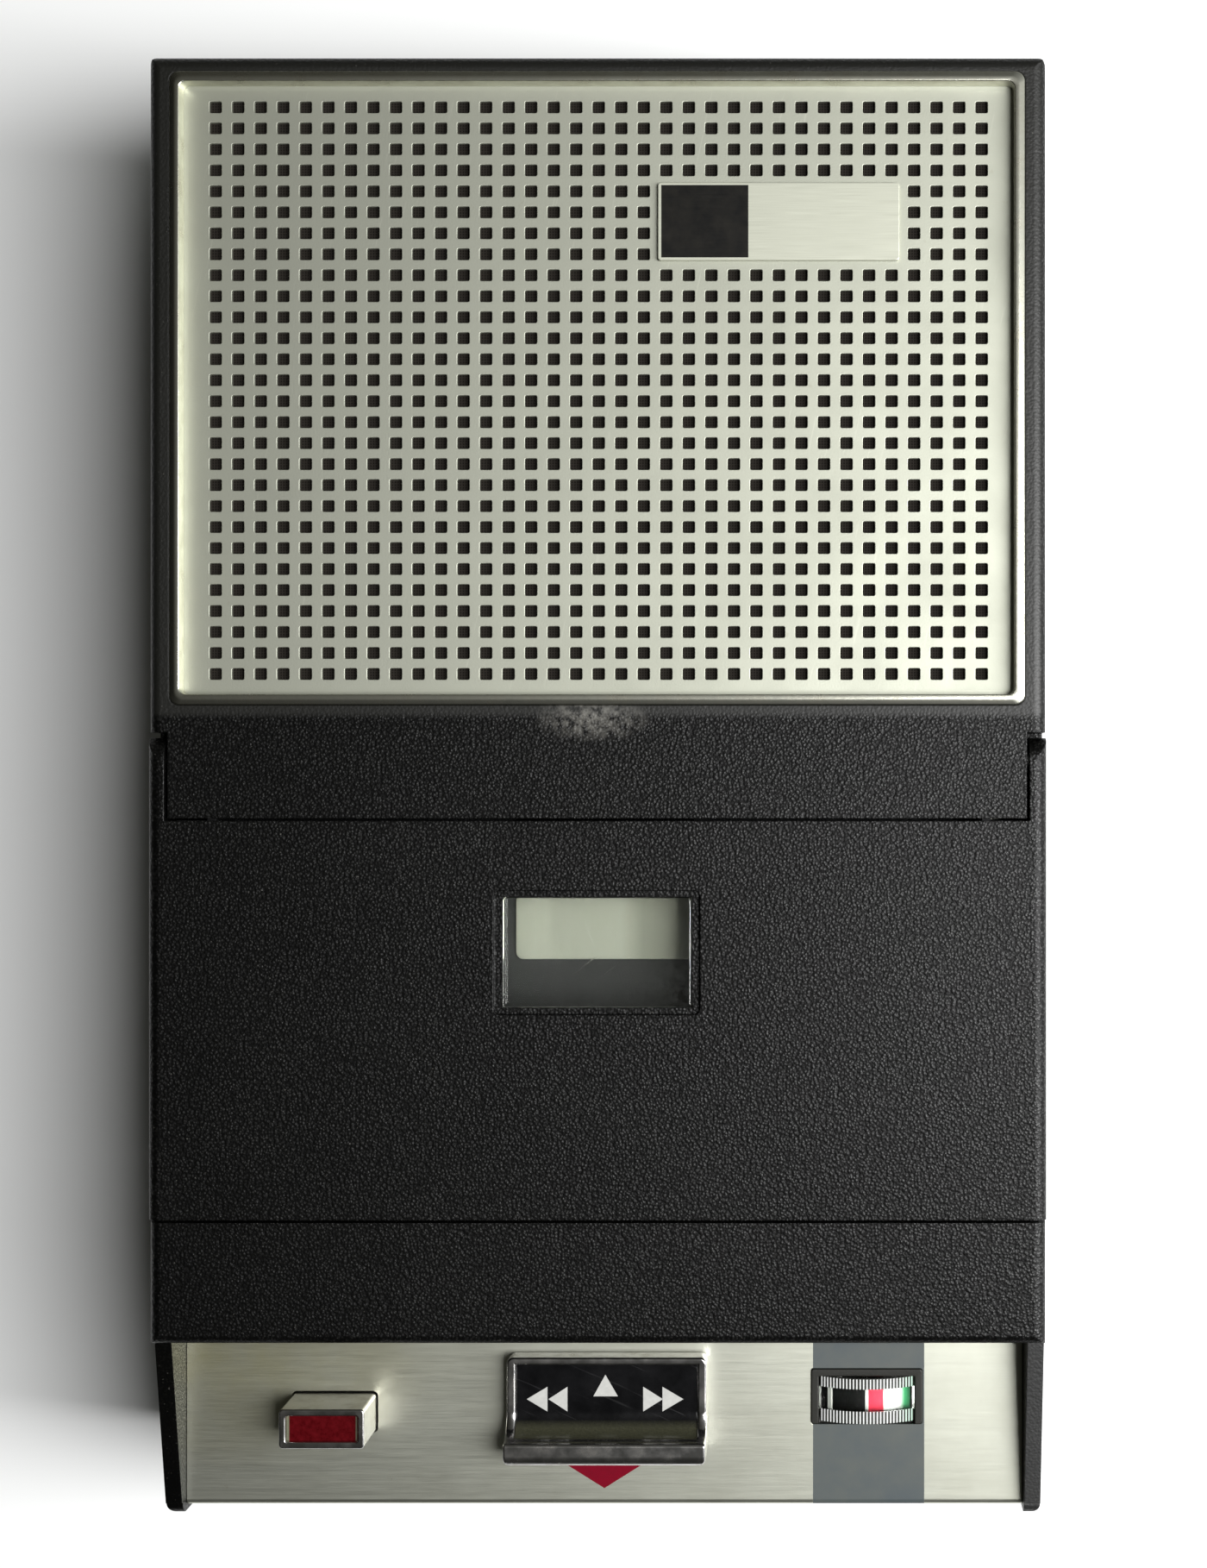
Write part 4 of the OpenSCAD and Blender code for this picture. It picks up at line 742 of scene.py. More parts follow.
@dataclass(frozen=True)
class Assorted(Finish):
    """Components on the board, each coloured by where it stands."""

    pitch: float = 5.6
    brown: Colour = (0.22, 0.16, 0.10)

    def wire(self, sheet: Sheet) -> None:
        """Wires one plain colour for each component's patch of board."""
        flat = sheet.node("ShaderNodeMapping", Vector=sheet.place, Scale=(1, 1, 0)).outputs[0]
        patch = sheet.node("ShaderNodeTexVoronoi", Vector=flat,
                           Scale=1.0 / (self.pitch * MM), Randomness=0.0)
        sheet.set(Base_Color=sheet.blend(0.55, patch.outputs["Color"], self.brown),
                  Roughness=sheet.noise(1.0, 3.0).spread(0.3, 0.7, 0.25, 0.45),
                  Normal=sheet.rounded(0.2))


@dataclass(frozen=True)
class PulpCone(Finish):
    """Pressed paper pulp of the loudspeaker cone."""

    colour: Colour = (0.035, 0.033, 0.030)
    fibres: Colour = (0.085, 0.08, 0.07)

    def wire(self, sheet: Sheet) -> None:
        """Wires fibres and pulp clouds."""
        fibre = sheet.noise(0.5, 5.0, 0.75, (1, 0.3, 1), 40, 0.6)
        sheet.set(Base_Color=sheet.blend(fibre, self.colour, self.fibres),
                  Roughness=fibre.spread(0.3, 0.7, 0.75, 0.95),
                  Normal=sheet.bump(fibre, 0.06, 0.6))


@dataclass(frozen=True)
class CellJacket(Finish):
    """Plain printed jacket of a dry cell."""

    colour: Colour = (0.45, 0.22, 0.07)
    bare: Colour = (0.30, 0.26, 0.20)

    def wire(self, sheet: Sheet) -> None:
        """Wires lacquered metal with scuffs."""
        scuffed = sheet.noise(2.0, 5.0, 0.65)
        sheet.set(Base_Color=sheet.blend(scuffed.spread(0.55, 0.75), self.colour, self.bare),
                  Metallic=0.4,
                  Roughness=scuffed.spread(0.3, 0.7, 0.25, 0.42),
                  Normal=sheet.rounded(0.4))


CASE = PebbleGrain("pebble_grain")
INSIDE = Clouded("fine_matt_moulding")
METER_BODY = Clouded("meter_moulding", colour=(0.009, 0.009, 0.007), rough=(0.15, 0.35))
KNOB = Clouded("thumb_wheel_moulding", colour=(0.008, 0.008, 0.008), rough=(0.15, 0.28))
# The key insert's pale band is a painted reflection in the concave rise before the bar.
KEY_INSERT = GlossMoulding("key_insert_gloss", worn=(-86.5, -84.4))
SOCKET = GlossMoulding("socket_gloss", colour=(0.018, 0.018, 0.018), roughness=0.3)
HUB = GlossMoulding("hub_moulding", colour=(0.62, 0.60, 0.54), roughness=0.3)
GRILLE = SatinPressing("satin_pressing")
RIM = PolishedRim("polished_rim")
PANEL = BrushedSheet("panel_sheet", stripe=(28.31, 43.42), stained=(-52.0, -76.0))
# The tongue gets a painted shadow at its right, from the window's right wall, and painted black
# shade at its rear under the hinge band.
TONGUE = BrushedSheet("tongue_sheet", grain=Axis.ALONG_Y, colour=(0.46, 0.46, 0.40),
                      roughness=0.38, shadow_from=3.8, dark_behind=-9.0)
CHROME = BrightPlating("bright_plating")
ZINC = MachineMetal("zinc_plate", colour=(0.62, 0.60, 0.52))
STEEL = MachineMetal("spring_steel", colour=(0.56, 0.56, 0.55), roughness=0.25)
TURNED = MachineMetal("turned_metal", colour=(0.66, 0.64, 0.60), roughness=0.28)
BRONZE = MachineMetal("sintered_bronze", colour=(0.62, 0.42, 0.20), roughness=0.4)
MAGNET = MachineMetal("magnet_metal", colour=(0.16, 0.16, 0.17), roughness=0.5)
WHITE_INK = Paint("white_ink")
RED_PAINT = Paint("red_paint", colour=(0.145, 0.003, 0.012), rough=(0.2, 0.25), shine=0.08)
NEEDLE_PAINT = Paint("needle_paint", colour=(0.36, 0.36, 0.34))
RUBBER = SoftRubber("ground_rubber")


def dress(node: str, finish: Finish) -> None:
    """Gives a node of the frame its finish.

    Args:
        node: Name of the node.
        finish: The finish that it gets.
    """
    piece = bpy.data.objects[node]
    piece.data.materials.clear()
    piece.data.materials.append(finish.material())
    log.info("%s: %s", node, finish.name)


def linked(name: str, data: bpy.types.ID) -> bpy.types.Object:
    """A new object for some data, linked to the scene."""
    made = bpy.data.objects.new(name, data)
    bpy.context.scene.collection.objects.link(made)
    return made


def add_piece(mesh: bpy.types.Mesh, name: str, body: str, finish: Finish,
              replaces: tuple[str, ...] = ()) -> bpy.types.Object:
    """Makes a finished mesh a piece of the object.

    Args:
        mesh: The mesh, in metres in the part's frame.
        name: The piece's name.
        body: The body that it rides on.
        finish: Its finish.
        replaces: Nodes of the frame that it stands for.

    Returns:
        The new object.
    """
    piece = linked(name, mesh)
    mesh.materials.clear()
    mesh.materials.append(finish.material())
    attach(piece, body)
    if replaces:
        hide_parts(*replaces)
    log.info("%s: %d faces on %s", name, len(mesh.polygons), body)
    return piece


def plan_of(node: str) -> tuple[float, float, float, float]:
    """Width, length, middle along Y and top of a node's box, in millimetres."""
    low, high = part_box(node)
    return ((high.x - low.x) / MM, (high.y - low.y) / MM, (low.y + high.y) / 2 / MM,
            high.z / MM)


def ring(bm: bmesh.types.BMesh, points: Outline, z: float, middle: float = 0.0) -> Ring:
    """New vertices at a height, one for each point, in millimetres."""
    return [bm.verts.new((x * MM, (y + middle) * MM, z * MM)) for x, y in points]


def skin(bm: bmesh.types.BMesh, loop: Ring, follow: Ring) -> None:
    """Joins two closed rings by quads."""
    for i in range(len(loop)):
        j = (i + 1) % len(loop)
        bm.faces.new((loop[i], loop[j], follow[j], follow[i]))


def mesh_from(bm: bmesh.types.BMesh, name: str, sharp: float = 40.0) -> bpy.types.Mesh:
    """Ends a bmesh as a smooth-shaded mesh whose edges over an angle stay sharp.

    Args:
        bm: The bmesh, which is freed.
        name: The mesh's name.
        sharp: Angle in degrees above which an edge is sharp.

    Returns:
        The mesh.
    """
    mesh = bpy.data.meshes.new(name)
    bm.to_mesh(mesh)
    bm.free()
    mesh.shade_smooth()
    mesh.set_sharp_from_angle(angle=math.radians(sharp))
    return mesh


def baked(carrier: bpy.types.Object, name: str) -> bpy.types.Mesh:
    """The mesh that an object's modifiers make, with the carrier removed.

    Args:
        carrier: Object with modifiers.
        name: Name of the new mesh.

    Returns:
        A plain mesh.
    """
    ready = carrier.evaluated_get(bpy.context.evaluated_depsgraph_get())
    mesh = bpy.data.meshes.new_from_object(ready)
    mesh.name = name
    carrier.modifiers.clear()
    bpy.data.objects.remove(carrier)
    return mesh


def softened(node: str, name: str, width: float,
             notch: bpy.types.Mesh | None = None) -> bpy.types.Mesh:
    """A copy of a node with its sharp edges rounded.

    Args:
        node: Node of the frame.
        name: Name of the new mesh.
        width: Width of the rounding in millimetres.
        notch: Closed mesh that is cut away before the rounding.

    Returns:
        The rounded mesh.
    """
    bm = bmesh.new()
    bm.from_mesh(bpy.data.objects[node].data)
    bmesh.ops.remove_doubles(bm, verts=bm.verts, dist=WELD)
    bmesh.ops.dissolve_limit(bm, angle_limit=FLAT_ANGLE, verts=bm.verts, edges=bm.edges)
    mesh = bpy.data.meshes.new(name)
    bm.to_mesh(mesh)
    bm.free()
    mesh.shade_smooth()
    carrier = linked(name + "_carrier", mesh)
    cutter = None
    if notch is not None:
        cutter = linked(name + "_notch", notch)
        cut = carrier.modifiers.new("notch", "BOOLEAN")
        cut.operation, cut.solver, cut.object = "DIFFERENCE", "EXACT", cutter
    bevel = carrier.modifiers.new("rounding", "BEVEL")
    bevel.width = width * MM
    bevel.segments = ROUND_STEPS
    bevel.limit_method = "ANGLE"
    bevel.angle_limit = ROUND_ANGLE
    bevel.use_clamp_overlap = False
    even = carrier.modifiers.new("even", "WEIGHTED_NORMAL")
    even.keep_sharp = False
    made = baked(carrier, name)
    if cutter is not None:
        bpy.data.objects.remove(cutter)
    return made


def rounded_loop(width: float, length: float, radius: float, steps: int) -> Outline:
    """Points round a rectangle with round corners, counter-clockwise from its right side.

    Args:
        width: Size along X.
        length: Size along Y.
        radius: Corner radius.
        steps: Segments of each corner.

    Returns:
        The points.
    """
    points = []
    for turn, (sx, sy) in enumerate(((1, 1), (-1, 1), (-1, -1), (1, -1))):
        for k in range(steps + 1):
            a = math.radians(90 * (turn + k / steps))
            points.append((sx * (width / 2 - radius) + radius * math.cos(a),
                           sy * (length / 2 - radius) + radius * math.sin(a)))
    return points


def flat_mark(name: str, outlines: list[Outline], z: float, thick: float) -> bpy.types.Mesh:
    """Flat raised marks, each from its outline.

    Args:
        name: Name of the mesh.
        outlines: Corner points of each mark, counter-clockwise, in millimetres.
        z: Height of their undersides.
        thick: Their thickness.

    Returns:
        The mesh.
    """
    bm = bmesh.new()
    for outline in outlines:
        low, high = ring(bm, outline, z), ring(bm, outline, z + thick)
        bm.faces.new(high)
        bm.faces.new(list(reversed(low)))
        skin(bm, low, high)
    return mesh_from(bm, name, sharp=20.0)


class NodeTree(Wiring):
    """A Geometry Nodes tree while it is being built, with named inputs."""

    def __init__(self, name: str, asked: dict[str, tuple[str, object]]) -> None:
        """Starts a tree that ends in a Geometry output.

        Args:
            name: Name of the tree.
            asked: The socket type and the value of each named input.
        """
        super().__init__(bpy.data.node_groups.new(name, "GeometryNodeTree"))
        sockets = self.tree.interface
        sockets.new_socket("Geometry", in_out="OUTPUT", socket_type="NodeSocketGeometry")
        self.values = {sockets.new_socket(
            label, in_out="INPUT", socket_type="NodeSocket" + kind).identifier: value
            for label, (kind, value) in asked.items()}
        self.asked = self.node("NodeGroupInput").outputs
        self.exit = self.node("NodeGroupOutput").inputs[0]

    def run(self, name: str) -> bpy.types.Mesh:
        """Runs the tree on an empty carrier.

        Args:
            name: Name of the resulting mesh.

        Returns:
            The tree's geometry as a plain mesh.
        """
        carrier = linked(name + "_carrier", bpy.data.meshes.new(name + "_start"))
        modifier = carrier.modifiers.new("made", "NODES")
        modifier.node_group = self.tree
        for identifier, value in self.values.items():
            modifier[identifier] = value
        return baked(carrier, name)


@dataclass
class Grille:
    """Pressed grille: polished rim, pierced plate with rolled hole edges, cloth and badge."""

    pitch_x: float = 2.978
    pitch_y: float = 2.773
    hole_w: float = 1.60
    hole_l: float = 1.50
    hole_r: float = 0.18
    roll: float = 0.075
    roll_drop: float = 0.07
    roll_middle: Pair = (0.34, 0.22)
    columns: int = 35
    rows: int = 28
    badge_columns: int = 11
    badge_rows: int = 4
    badge_from_left: int = 20
    badge_from_rear: int = 4
    thick: float = 0.6
    corner: float = 0.9
    rim_corner: float = 1.3
    rim_corner_taper: float = 0.25
    rim_profile: Outline = field(default_factory=lambda: [
        (0.0, -3.3), (0.0, -0.42), (0.02, -0.30), (0.08, -0.21), (0.18, -0.168),
        (0.50, -0.072), (0.62, -0.030), (0.74, -0.006), (0.84, 0.0), (1.24, 0.0),
        (1.30, -0.015), (1.35, -0.06), (1.37, -0.14), (1.42, -2.385), (2.0, -2.39),
        (2.0, -2.41), (1.6, -2.5), (1.6, -3.3)])
    cloth_insets: tuple[float, ...] = (0.0, 0.6, 3.0, 9.0, 18.0, 28.0, 38.0)
    cloth_faces: Pair = (0.02, 0.20)
    cloth_sag: float = 0.07
    badge_round: float = 0.14
    badge_seam: float = 0.375

    def build(self) -> None:
        """Builds the plate, its rim, the cloth behind it and the badge."""
        add_piece(self.plate(), "pierced_plate", "case", GRILLE, ("grille",))
        add_piece(self.rim(), "grille_rim", "case", RIM, ("grille_frame",))
        self.cloth()
        self.badge()

    def cell(self, pierced: bool) -> bpy.types.Object:
        """One cell of the plate, with or without its hole.

        Args:
            pierced: True for a cell with a hole whose edge is rolled inwards.

        Returns:
            An object that the tree copies.
        """
        bm = bmesh.new()
        half_x, half_y = self.pitch_x / 2, self.pitch_y / 2
        corners = [(half_x, half_y), (-half_x, half_y), (-half_x, -half_y), (half_x, -half_y)]
        top, bottom = ring(bm, corners, 0.0), ring(bm, corners, -self.thick)
        if not pierced:
            bm.faces.new(top)
            bm.faces.new(list(reversed(bottom)))
        else:
            wide, deep = self.roll_middle
            rings = [ring(bm, rounded_loop(self.hole_w + 2 * grow, self.hole_l + 2 * grow,
                                           self.hole_r + grow, steps=2), z)
                     for grow, z in ((self.roll, 0.0),
                                     (self.roll * wide, -self.roll_drop * deep),
                                     (0.0, -self.roll_drop), (0.0, -self.thick))]
            self.collar(bm, top, rings[0], False)
            self.collar(bm, bottom, rings[-1], True)
            for upper, lower in zip(rings, rings[1:]):
                skin(bm, lower, upper)
        bmesh.ops.recalc_face_normals(bm, faces=bm.faces)
        if max(bm.faces, key=lambda f: f.calc_center_median().z).normal.z < 0:
            bmesh.ops.reverse_faces(bm, faces=bm.faces)
        return linked("pierced_cell" if pierced else "plain_cell",
                      mesh_from(bm, "cell_mesh", sharp=60.0))

    @staticmethod
    def collar(bm: bmesh.types.BMesh, corners: Ring, hole: Ring, under: bool) -> None:
        """Fills between a cell's four corners and the ring round its hole."""
        steps = len(hole) // 4
        for k in range(4):
            arc = hole[k * steps:(k + 1) * steps]
            follow = hole[(k + 1) * steps % len(hole)]
            faces = [(corners[k], arc[i + 1], arc[i]) for i in range(steps - 1)]
            faces.append((corners[k], corners[(k + 1) % 4], follow, arc[-1]))
            for face in faces:
                bm.faces.new(face if under else tuple(reversed(face)))

    def plate(self) -> bpy.types.Mesh:
        """The pierced plate, with its cells set out by a node tree.

        Returns:
            The plate's mesh.
        """
        pierced, plain = self.cell(True), self.cell(False)
        badge_x, badge_y = self.badge_middle()
        nodes = NodeTree("pierced_plate_tree", {
            "Pierced cell": ("Object", pierced), "Plain cell": ("Object", plain),
            "Span X": ("Float", (self.columns - 1) * self.pitch_x * MM),
            "Span Y": ("Float", (self.rows - 1) * self.pitch_y * MM),
            "Columns": ("Int", self.columns), "Rows": ("Int", self.rows),
            "Badge centre": ("Vector", (badge_x * MM, badge_y * MM, 0.0)),
            "Badge half size": ("Vector", (self.badge_columns / 2 * self.pitch_x * MM,
                                           self.badge_rows / 2 * self.pitch_y * MM, 1.0)),
            "Finish": ("Material", GRILLE.material())})
        asked = nodes.asked
        grid = nodes.node("GeometryNodeMeshGrid", Size_X=asked["Span X"],
                          Size_Y=asked["Span Y"], Vertices_X=asked["Columns"],
                          Vertices_Y=asked["Rows"])
        away = nodes.node("ShaderNodeVectorMath",
                          nodes.node("GeometryNodeInputPosition").outputs[0],
                          asked["Badge centre"], settings={"operation": "SUBTRACT"})
        size = nodes.node("ShaderNodeVectorMath", away.outputs[0],
                          settings={"operation": "ABSOLUTE"})
        under = nodes.node("FunctionNodeCompare", *[None] * 4, size.outputs[0],
                           asked["Badge half size"],
                           settings={"data_type": "VECTOR", "mode": "ELEMENT",
                                     "operation": "LESS_THAN"})
        clear = nodes.node("FunctionNodeBooleanMath", under.outputs[0],
                           settings={"operation": "NOT"})
        join = nodes.node("GeometryNodeJoinGeometry")
        for label, chosen in (("Pierced cell", clear), ("Plain cell", under)):
            source = nodes.node("GeometryNodeObjectInfo", Object=asked[label])
            copies = nodes.node("GeometryNodeInstanceOnPoints", Points=grid.outputs["Mesh"],
                                Selection=chosen.outputs[0],
                                Instance=source.outputs["Geometry"])
            nodes.feed(join.inputs[0], copies.outputs[0])
        real = nodes.node("GeometryNodeRealizeInstances", join.outputs[0])
        finish = nodes.node("GeometryNodeSetMaterial", Geometry=real.outputs[0],
                            Material=asked["Finish"])
        nodes.feed(nodes.exit, finish.outputs[0])
        cells = nodes.run("pierced_field")
        for holder in (pierced, plain):
            bpy.data.objects.remove(holder)
        bm = bmesh.new()
        bm.from_mesh(cells)
        width, length, middle, top = plan_of("grille")
        self.margin(bm, rounded_loop(width, length, self.corner, steps=4))
        bmesh.ops.translate(bm, verts=bm.verts, vec=Vector((0, middle, top)) * MM)
        bmesh.ops.remove_doubles(bm, verts=bm.verts, dist=WELD_CELLS)
        return mesh_from(bm, "pierced_plate", sharp=15.0)

    def margin(self, bm: bmesh.types.BMesh, outer: Outline) -> None:
        """Adds the plain margin round the pierced field, welded to its outer cells.

        Args:
            bm: The field of cells.
            outer: The plate's outline, with an odd number of points at each corner.
        """
        half_x, half_y = self.columns * self.pitch_x / 2, self.rows * self.pitch_y / 2
        across = [-half_x + i * self.pitch_x for i in range(self.columns + 1)]
        along = [-half_y + j * self.pitch_y for j in range(self.rows + 1)]
        sides = [[(half_x, y) for y in along], [(x, half_y) for x in reversed(across)],
                 [(-half_x, y) for y in reversed(along)], [(x, -half_y) for x in across]]
        around, at_corner = len(outer), len(outer) // len(sides)
        rims = []
        for z in (0.0, -self.thick):
            rim = ring(bm, outer, z)
            rims.append(rim)
            for k, side in enumerate(sides):
                inner = ring(bm, side, z)
                start = at_corner * (k - 1) + at_corner // 2
                edge = [rim[(start + i) % around] for i in range(at_corner + 1)]
                face = bm.faces.new(edge + list(reversed(inner)))
                face.normal_update()
                if (face.normal.z > 0) != (z == 0.0):
                    face.normal_flip()
        skin(bm, rims[1], rims[0])

    def badge_middle(self) -> Pair:
        """Centre of the badge, from the middle of the plate."""
        column = self.badge_from_left + (self.badge_columns - 1) / 2
        row = self.badge_from_rear + (self.badge_rows - 1) / 2
        return ((column - (self.columns - 1) / 2) * self.pitch_x,
                ((self.rows - 1) / 2 - row) * self.pitch_y)

    def rim(self) -> bpy.types.Mesh:
        """The rim, its section carried round the recess.

        Returns:
            The rim's mesh.
        """
        width, length, middle, top = plan_of("grille_frame")
        bm = bmesh.new()
        loops = []
        for inset, z in self.rim_profile:
            radius = max(self.rim_corner - inset * self.rim_corner_taper, self.corner)
            loops.append(ring(bm, rounded_loop(width - 2 * inset, length - 2 * inset, radius,
                                               steps=8), top + z, middle))
        for loop, follow in zip(loops, loops[1:] + loops[:1]):
            skin(bm, loop, follow)
        bmesh.ops.recalc_face_normals(bm, faces=bm.faces)
        return mesh_from(bm, "grille_rim", sharp=50.0)

    def cloth(self) -> None:
        """Stretches the cloth over the opening, slightly hollow towards its middle."""
        width, length, middle, top = plan_of("grille_cloth")
        bm = bmesh.new()
        skins: list[list[Ring]] = []
        for under in self.cloth_faces:
            loops = []
            for inset in self.cloth_insets:
                share = inset / self.cloth_insets[-1]
                z = top - under - self.cloth_sag * share * (2 - share)
                loops.append(ring(bm, rounded_loop(width - 2 * inset, length - 2 * inset,
                                                   self.corner, steps=3), z, middle))
            bm.faces.new(loops[-1])
            skins.append(loops)
        rings = list(reversed(skins[0])) + skins[1]
        for loop, follow in zip(rings, rings[1:]):
            skin(bm, loop, follow)
        bmesh.ops.recalc_face_normals(bm, faces=bm.faces)
        piece = add_piece(mesh_from(bm, "stretched_cloth"), "stretched_cloth", "case",
                          LoudspeakerCloth("loudspeaker_cloth"),
                          ("grille_cloth",))

    def badge(self) -> None:
        """Rounds the badge plate and gives it its two bare fields."""
        low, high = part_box("badge_plate")
        edges = tuple(v / MM for v in (low.x, high.x, low.y, high.y))
        seam = edges[0] + self.badge_seam * (edges[1] - edges[0])
        add_piece(softened("badge_plate", "badge", self.badge_round), "badge", "case",
                  TwoToneBadge("two_tone_badge", seam=seam, edges=edges),
                  ("badge_plate",))


@dataclass
class Case:
    """The two case halves with feet, screws and battery cover."""

    def build(self) -> None:
        """Dresses the outside mouldings."""
        for node in ("upper_case", "lower_case", "battery_cover"):
            dress(node, CASE)
        dress("rubber_feet", RUBBER)
        dress("case_screws", STEEL)


@dataclass
class Lid:
    """Cassette lid with its window, leaf springs and hinge pins."""

    window_edge: float = 0.22
    star_right: float = 1.5

    def build(self) -> None:
        """Dresses the lid and rounds its window."""
        dress("lid", CASE)
        low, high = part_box("lid_window")
        star = ((low.x + high.x) / 2 / MM + self.star_right, (low.y + high.y) / 2 / MM)
        add_piece(softened("lid_window", "window_pane", self.window_edge), "window_pane", "lid",
                  ClearMoulding("clear_window", star=star), ("lid_window",))
        dress("lid_springs", STEEL)
        dress("hinge_pins", STEEL)


@dataclass
class ControlPanel:
    """Bent aluminium panel with its painted stripe and red pointer."""

    pointer: Outline = field(default_factory=lambda: [(-0.02, -94.13), (7.85, -89.2),
                                                      (-7.9, -89.2)])
    flat_z: float = 44.0
    ink: float = 0.02

    def build(self) -> None:
        """Dresses the sheet and paints the pointer."""
        dress("front_panel", PANEL)
        add_piece(flat_mark("pointer_mark", [self.pointer], self.flat_z, self.ink),
                  "pointer_mark", "case", RED_PAINT)


@dataclass
class Key:
    """Key with chromed frame, black insert and white arrows."""

    flat_z: float = 47.3
    ink: float = 0.02
    bar: Pair = (-86.6, -88.2)
    bar_reach: float = 0.5
    bezel_round: float = 0.30
    pad_round: float = 0.12
    middle_y: float = -81.18
    half: float = 1.66
    arrows: tuple[Pair, ...] = ((-10.15, -7.37), (-7.23, -4.68), (8.15, 5.50), (10.91, 8.09))
    eject: Outline = field(default_factory=lambda: [(-1.20, -80.80), (2.10, -80.80),
                                                    (0.42, -77.90)])

    def build(self) -> None:
        """Rounds the frame and the insert and prints the arrows."""
        bezel = softened("key_frame", "key_bezel", self.bezel_round)
        start, end = self.bar
        for point in bezel.vertices:
            share = min(max((start - point.co.y / MM) / (start - end), 0.0), 1.0)
            point.co.y -= self.bar_reach * share * MM
        add_piece(bezel, "key_bezel", "key", CHROME, ("key_frame",))
        add_piece(softened("key_insert", "key_pad", self.pad_round), "key_pad", "key",
                  KEY_INSERT, ("key_insert",))
        outlines = [self.eject]
        for tip, back in self.arrows:
            points = [(tip, self.middle_y), (back, self.middle_y + self.half),
                      (back, self.middle_y - self.half)]
            outlines.append(points if tip > back else [points[0], points[2], points[1]])
        add_piece(flat_mark("key_marks", outlines, self.flat_z, self.ink), "key_marks", "key",
                  WHITE_INK)
        dress("key_carrier", ZINC)


@dataclass
class RecordButton:
    """Chromed record button with its red face and its return spring."""

    shell_round: float = 0.24
    face_round: float = 0.12

    def build(self) -> None:
        """Rounds the button and its cap."""
        add_piece(softened("record_button", "button_shell", self.shell_round), "button_shell",
                  "record_button", CHROME, ("record_button",))
        add_piece(softened("record_cap", "button_face", self.face_round), "button_face",
                  "record_button", RedCap("red_face"), ("record_cap",))
        dress("button_spring", STEEL)


@dataclass
class Meter:
    """Level meter with its arched lens, clear between two ribbed edges."""

    centre: Pair = (35.6, 35.1)
    crest: float = 11.1
    thick: float = 0.8
    groove: float = 0.2
    half_w: float = 6.47
    stations: tuple[float, float, float, float] = (-84.85, -83.2, -80.2, -78.85)
    ribs: int = 29
    rib_pitch: float = 2.4
    rib_flank: Pair = (0.62, 0.45)
    rib_roll: float = 0.03
    smooth_steps: int = 24
    body_round: float = 0.15
    mouth: Outline = field(default_factory=lambda: [(29.1, -86.0), (42.1, -86.0),
                                                    (42.1, -84.2), (29.1, -84.2)])
    mouth_z: float = 42.9
    mouth_high: float = 3.0

    def build(self) -> None:
        """Rounds the housing, makes the lens and dresses the scale and the needle."""
        notch = flat_mark("meter_mouth", [self.mouth], self.mouth_z, self.mouth_high)
        add_piece(softened("meter_housing", "meter_body", self.body_round, notch),
                  "meter_body", "case", METER_BODY, ("meter_housing",))
        dress("meter_scale", MeterScale("meter_scale_print"))
        dress("meter_needle", NEEDLE_PAINT)
        front, low, high, rear = self.stations
        steps = self.smooth_steps
        smooth = self.arc([(a / steps, self.crest) for a in range(-steps, steps + 1)])
        add_piece(self.shell("meter_glass", [(low, high)], smooth), "meter_glass", "case",
                  ClearMoulding("clear_lens", tint=(0.93, 0.95, 0.93)),
                  ("meter_lens",))
        add_piece(self.shell("meter_ribs", [(front, low), (high, rear)], self.toothed()),
                  "meter_ribs", "case", RibbedEdge("ribbed_edge", self.centre, self.crest),
                  ("meter_lens",))

    def arc(self, points: list[Pair]) -> Outline:
        """Points over the arch.

        Args:
            points: Share of the half width, -1 to 1, and radius of each point.

        Returns:
            Their places along X and Z.
        """
        reach = math.asin(self.half_w / self.crest)
        return [(self.centre[0] + r * math.sin(share * reach),
                 self.centre[1] + r * math.cos(share * reach)) for share, r in points]

    def toothed(self) -> Outline:
        """The arch's upper line where it is ribbed."""
        reach = math.degrees(math.asin(self.half_w / self.crest))
        foot, brow = self.rib_flank
        line = [(-1.0, self.crest - self.groove)]
        for k in range(self.ribs):
            angle = (k - (self.ribs - 1) / 2) * self.rib_pitch
            for off, drop in ((-foot, self.groove), (-brow, self.rib_roll), (0.0, 0.0),
                              (brow, self.rib_roll), (foot, self.groove)):
                line.append(((angle + off) / reach, self.crest - drop))
        line.append((1.0, self.crest - self.groove))
        return self.arc(line)

    def shell(self, name: str, spans: list[Pair], upper: Outline) -> bpy.types.Mesh:
        """A curved slab under a line, once for each span along Y.

        Args:
            name: Name of the mesh.
            spans: Start and end of each slab along Y.
            upper: The line of its upper side.

        Returns:
            The mesh.
        """
        inner = self.crest - self.thick
        bm = bmesh.new()
        lower = [(self.centre[0] + (x - self.centre[0]) * inner / self.crest,
                  self.centre[1] + inner * math.cos(math.asin((x - self.centre[0]) / self.crest)))
                 for x, _ in upper]
        for y0, y1 in spans:
            rows = [[bm.verts.new((x * MM, y * MM, z * MM)) for x, z in line]
                    for line in (upper, lower) for y in (y0, y1)]
            for i in range(len(upper) - 1):
                for a, b in ((0, 1), (1, 3), (3, 2), (2, 0)):
                    bm.faces.new((rows[a][i], rows[a][i + 1], rows[b][i + 1], rows[b][i]))
            for i in (0, len(upper) - 1):
                bm.faces.new((rows[0][i], rows[1][i], rows[3][i], rows[2][i]))
        bmesh.ops.recalc_face_normals(bm, faces=bm.faces)
        return mesh_from(bm, name, sharp=30.0)


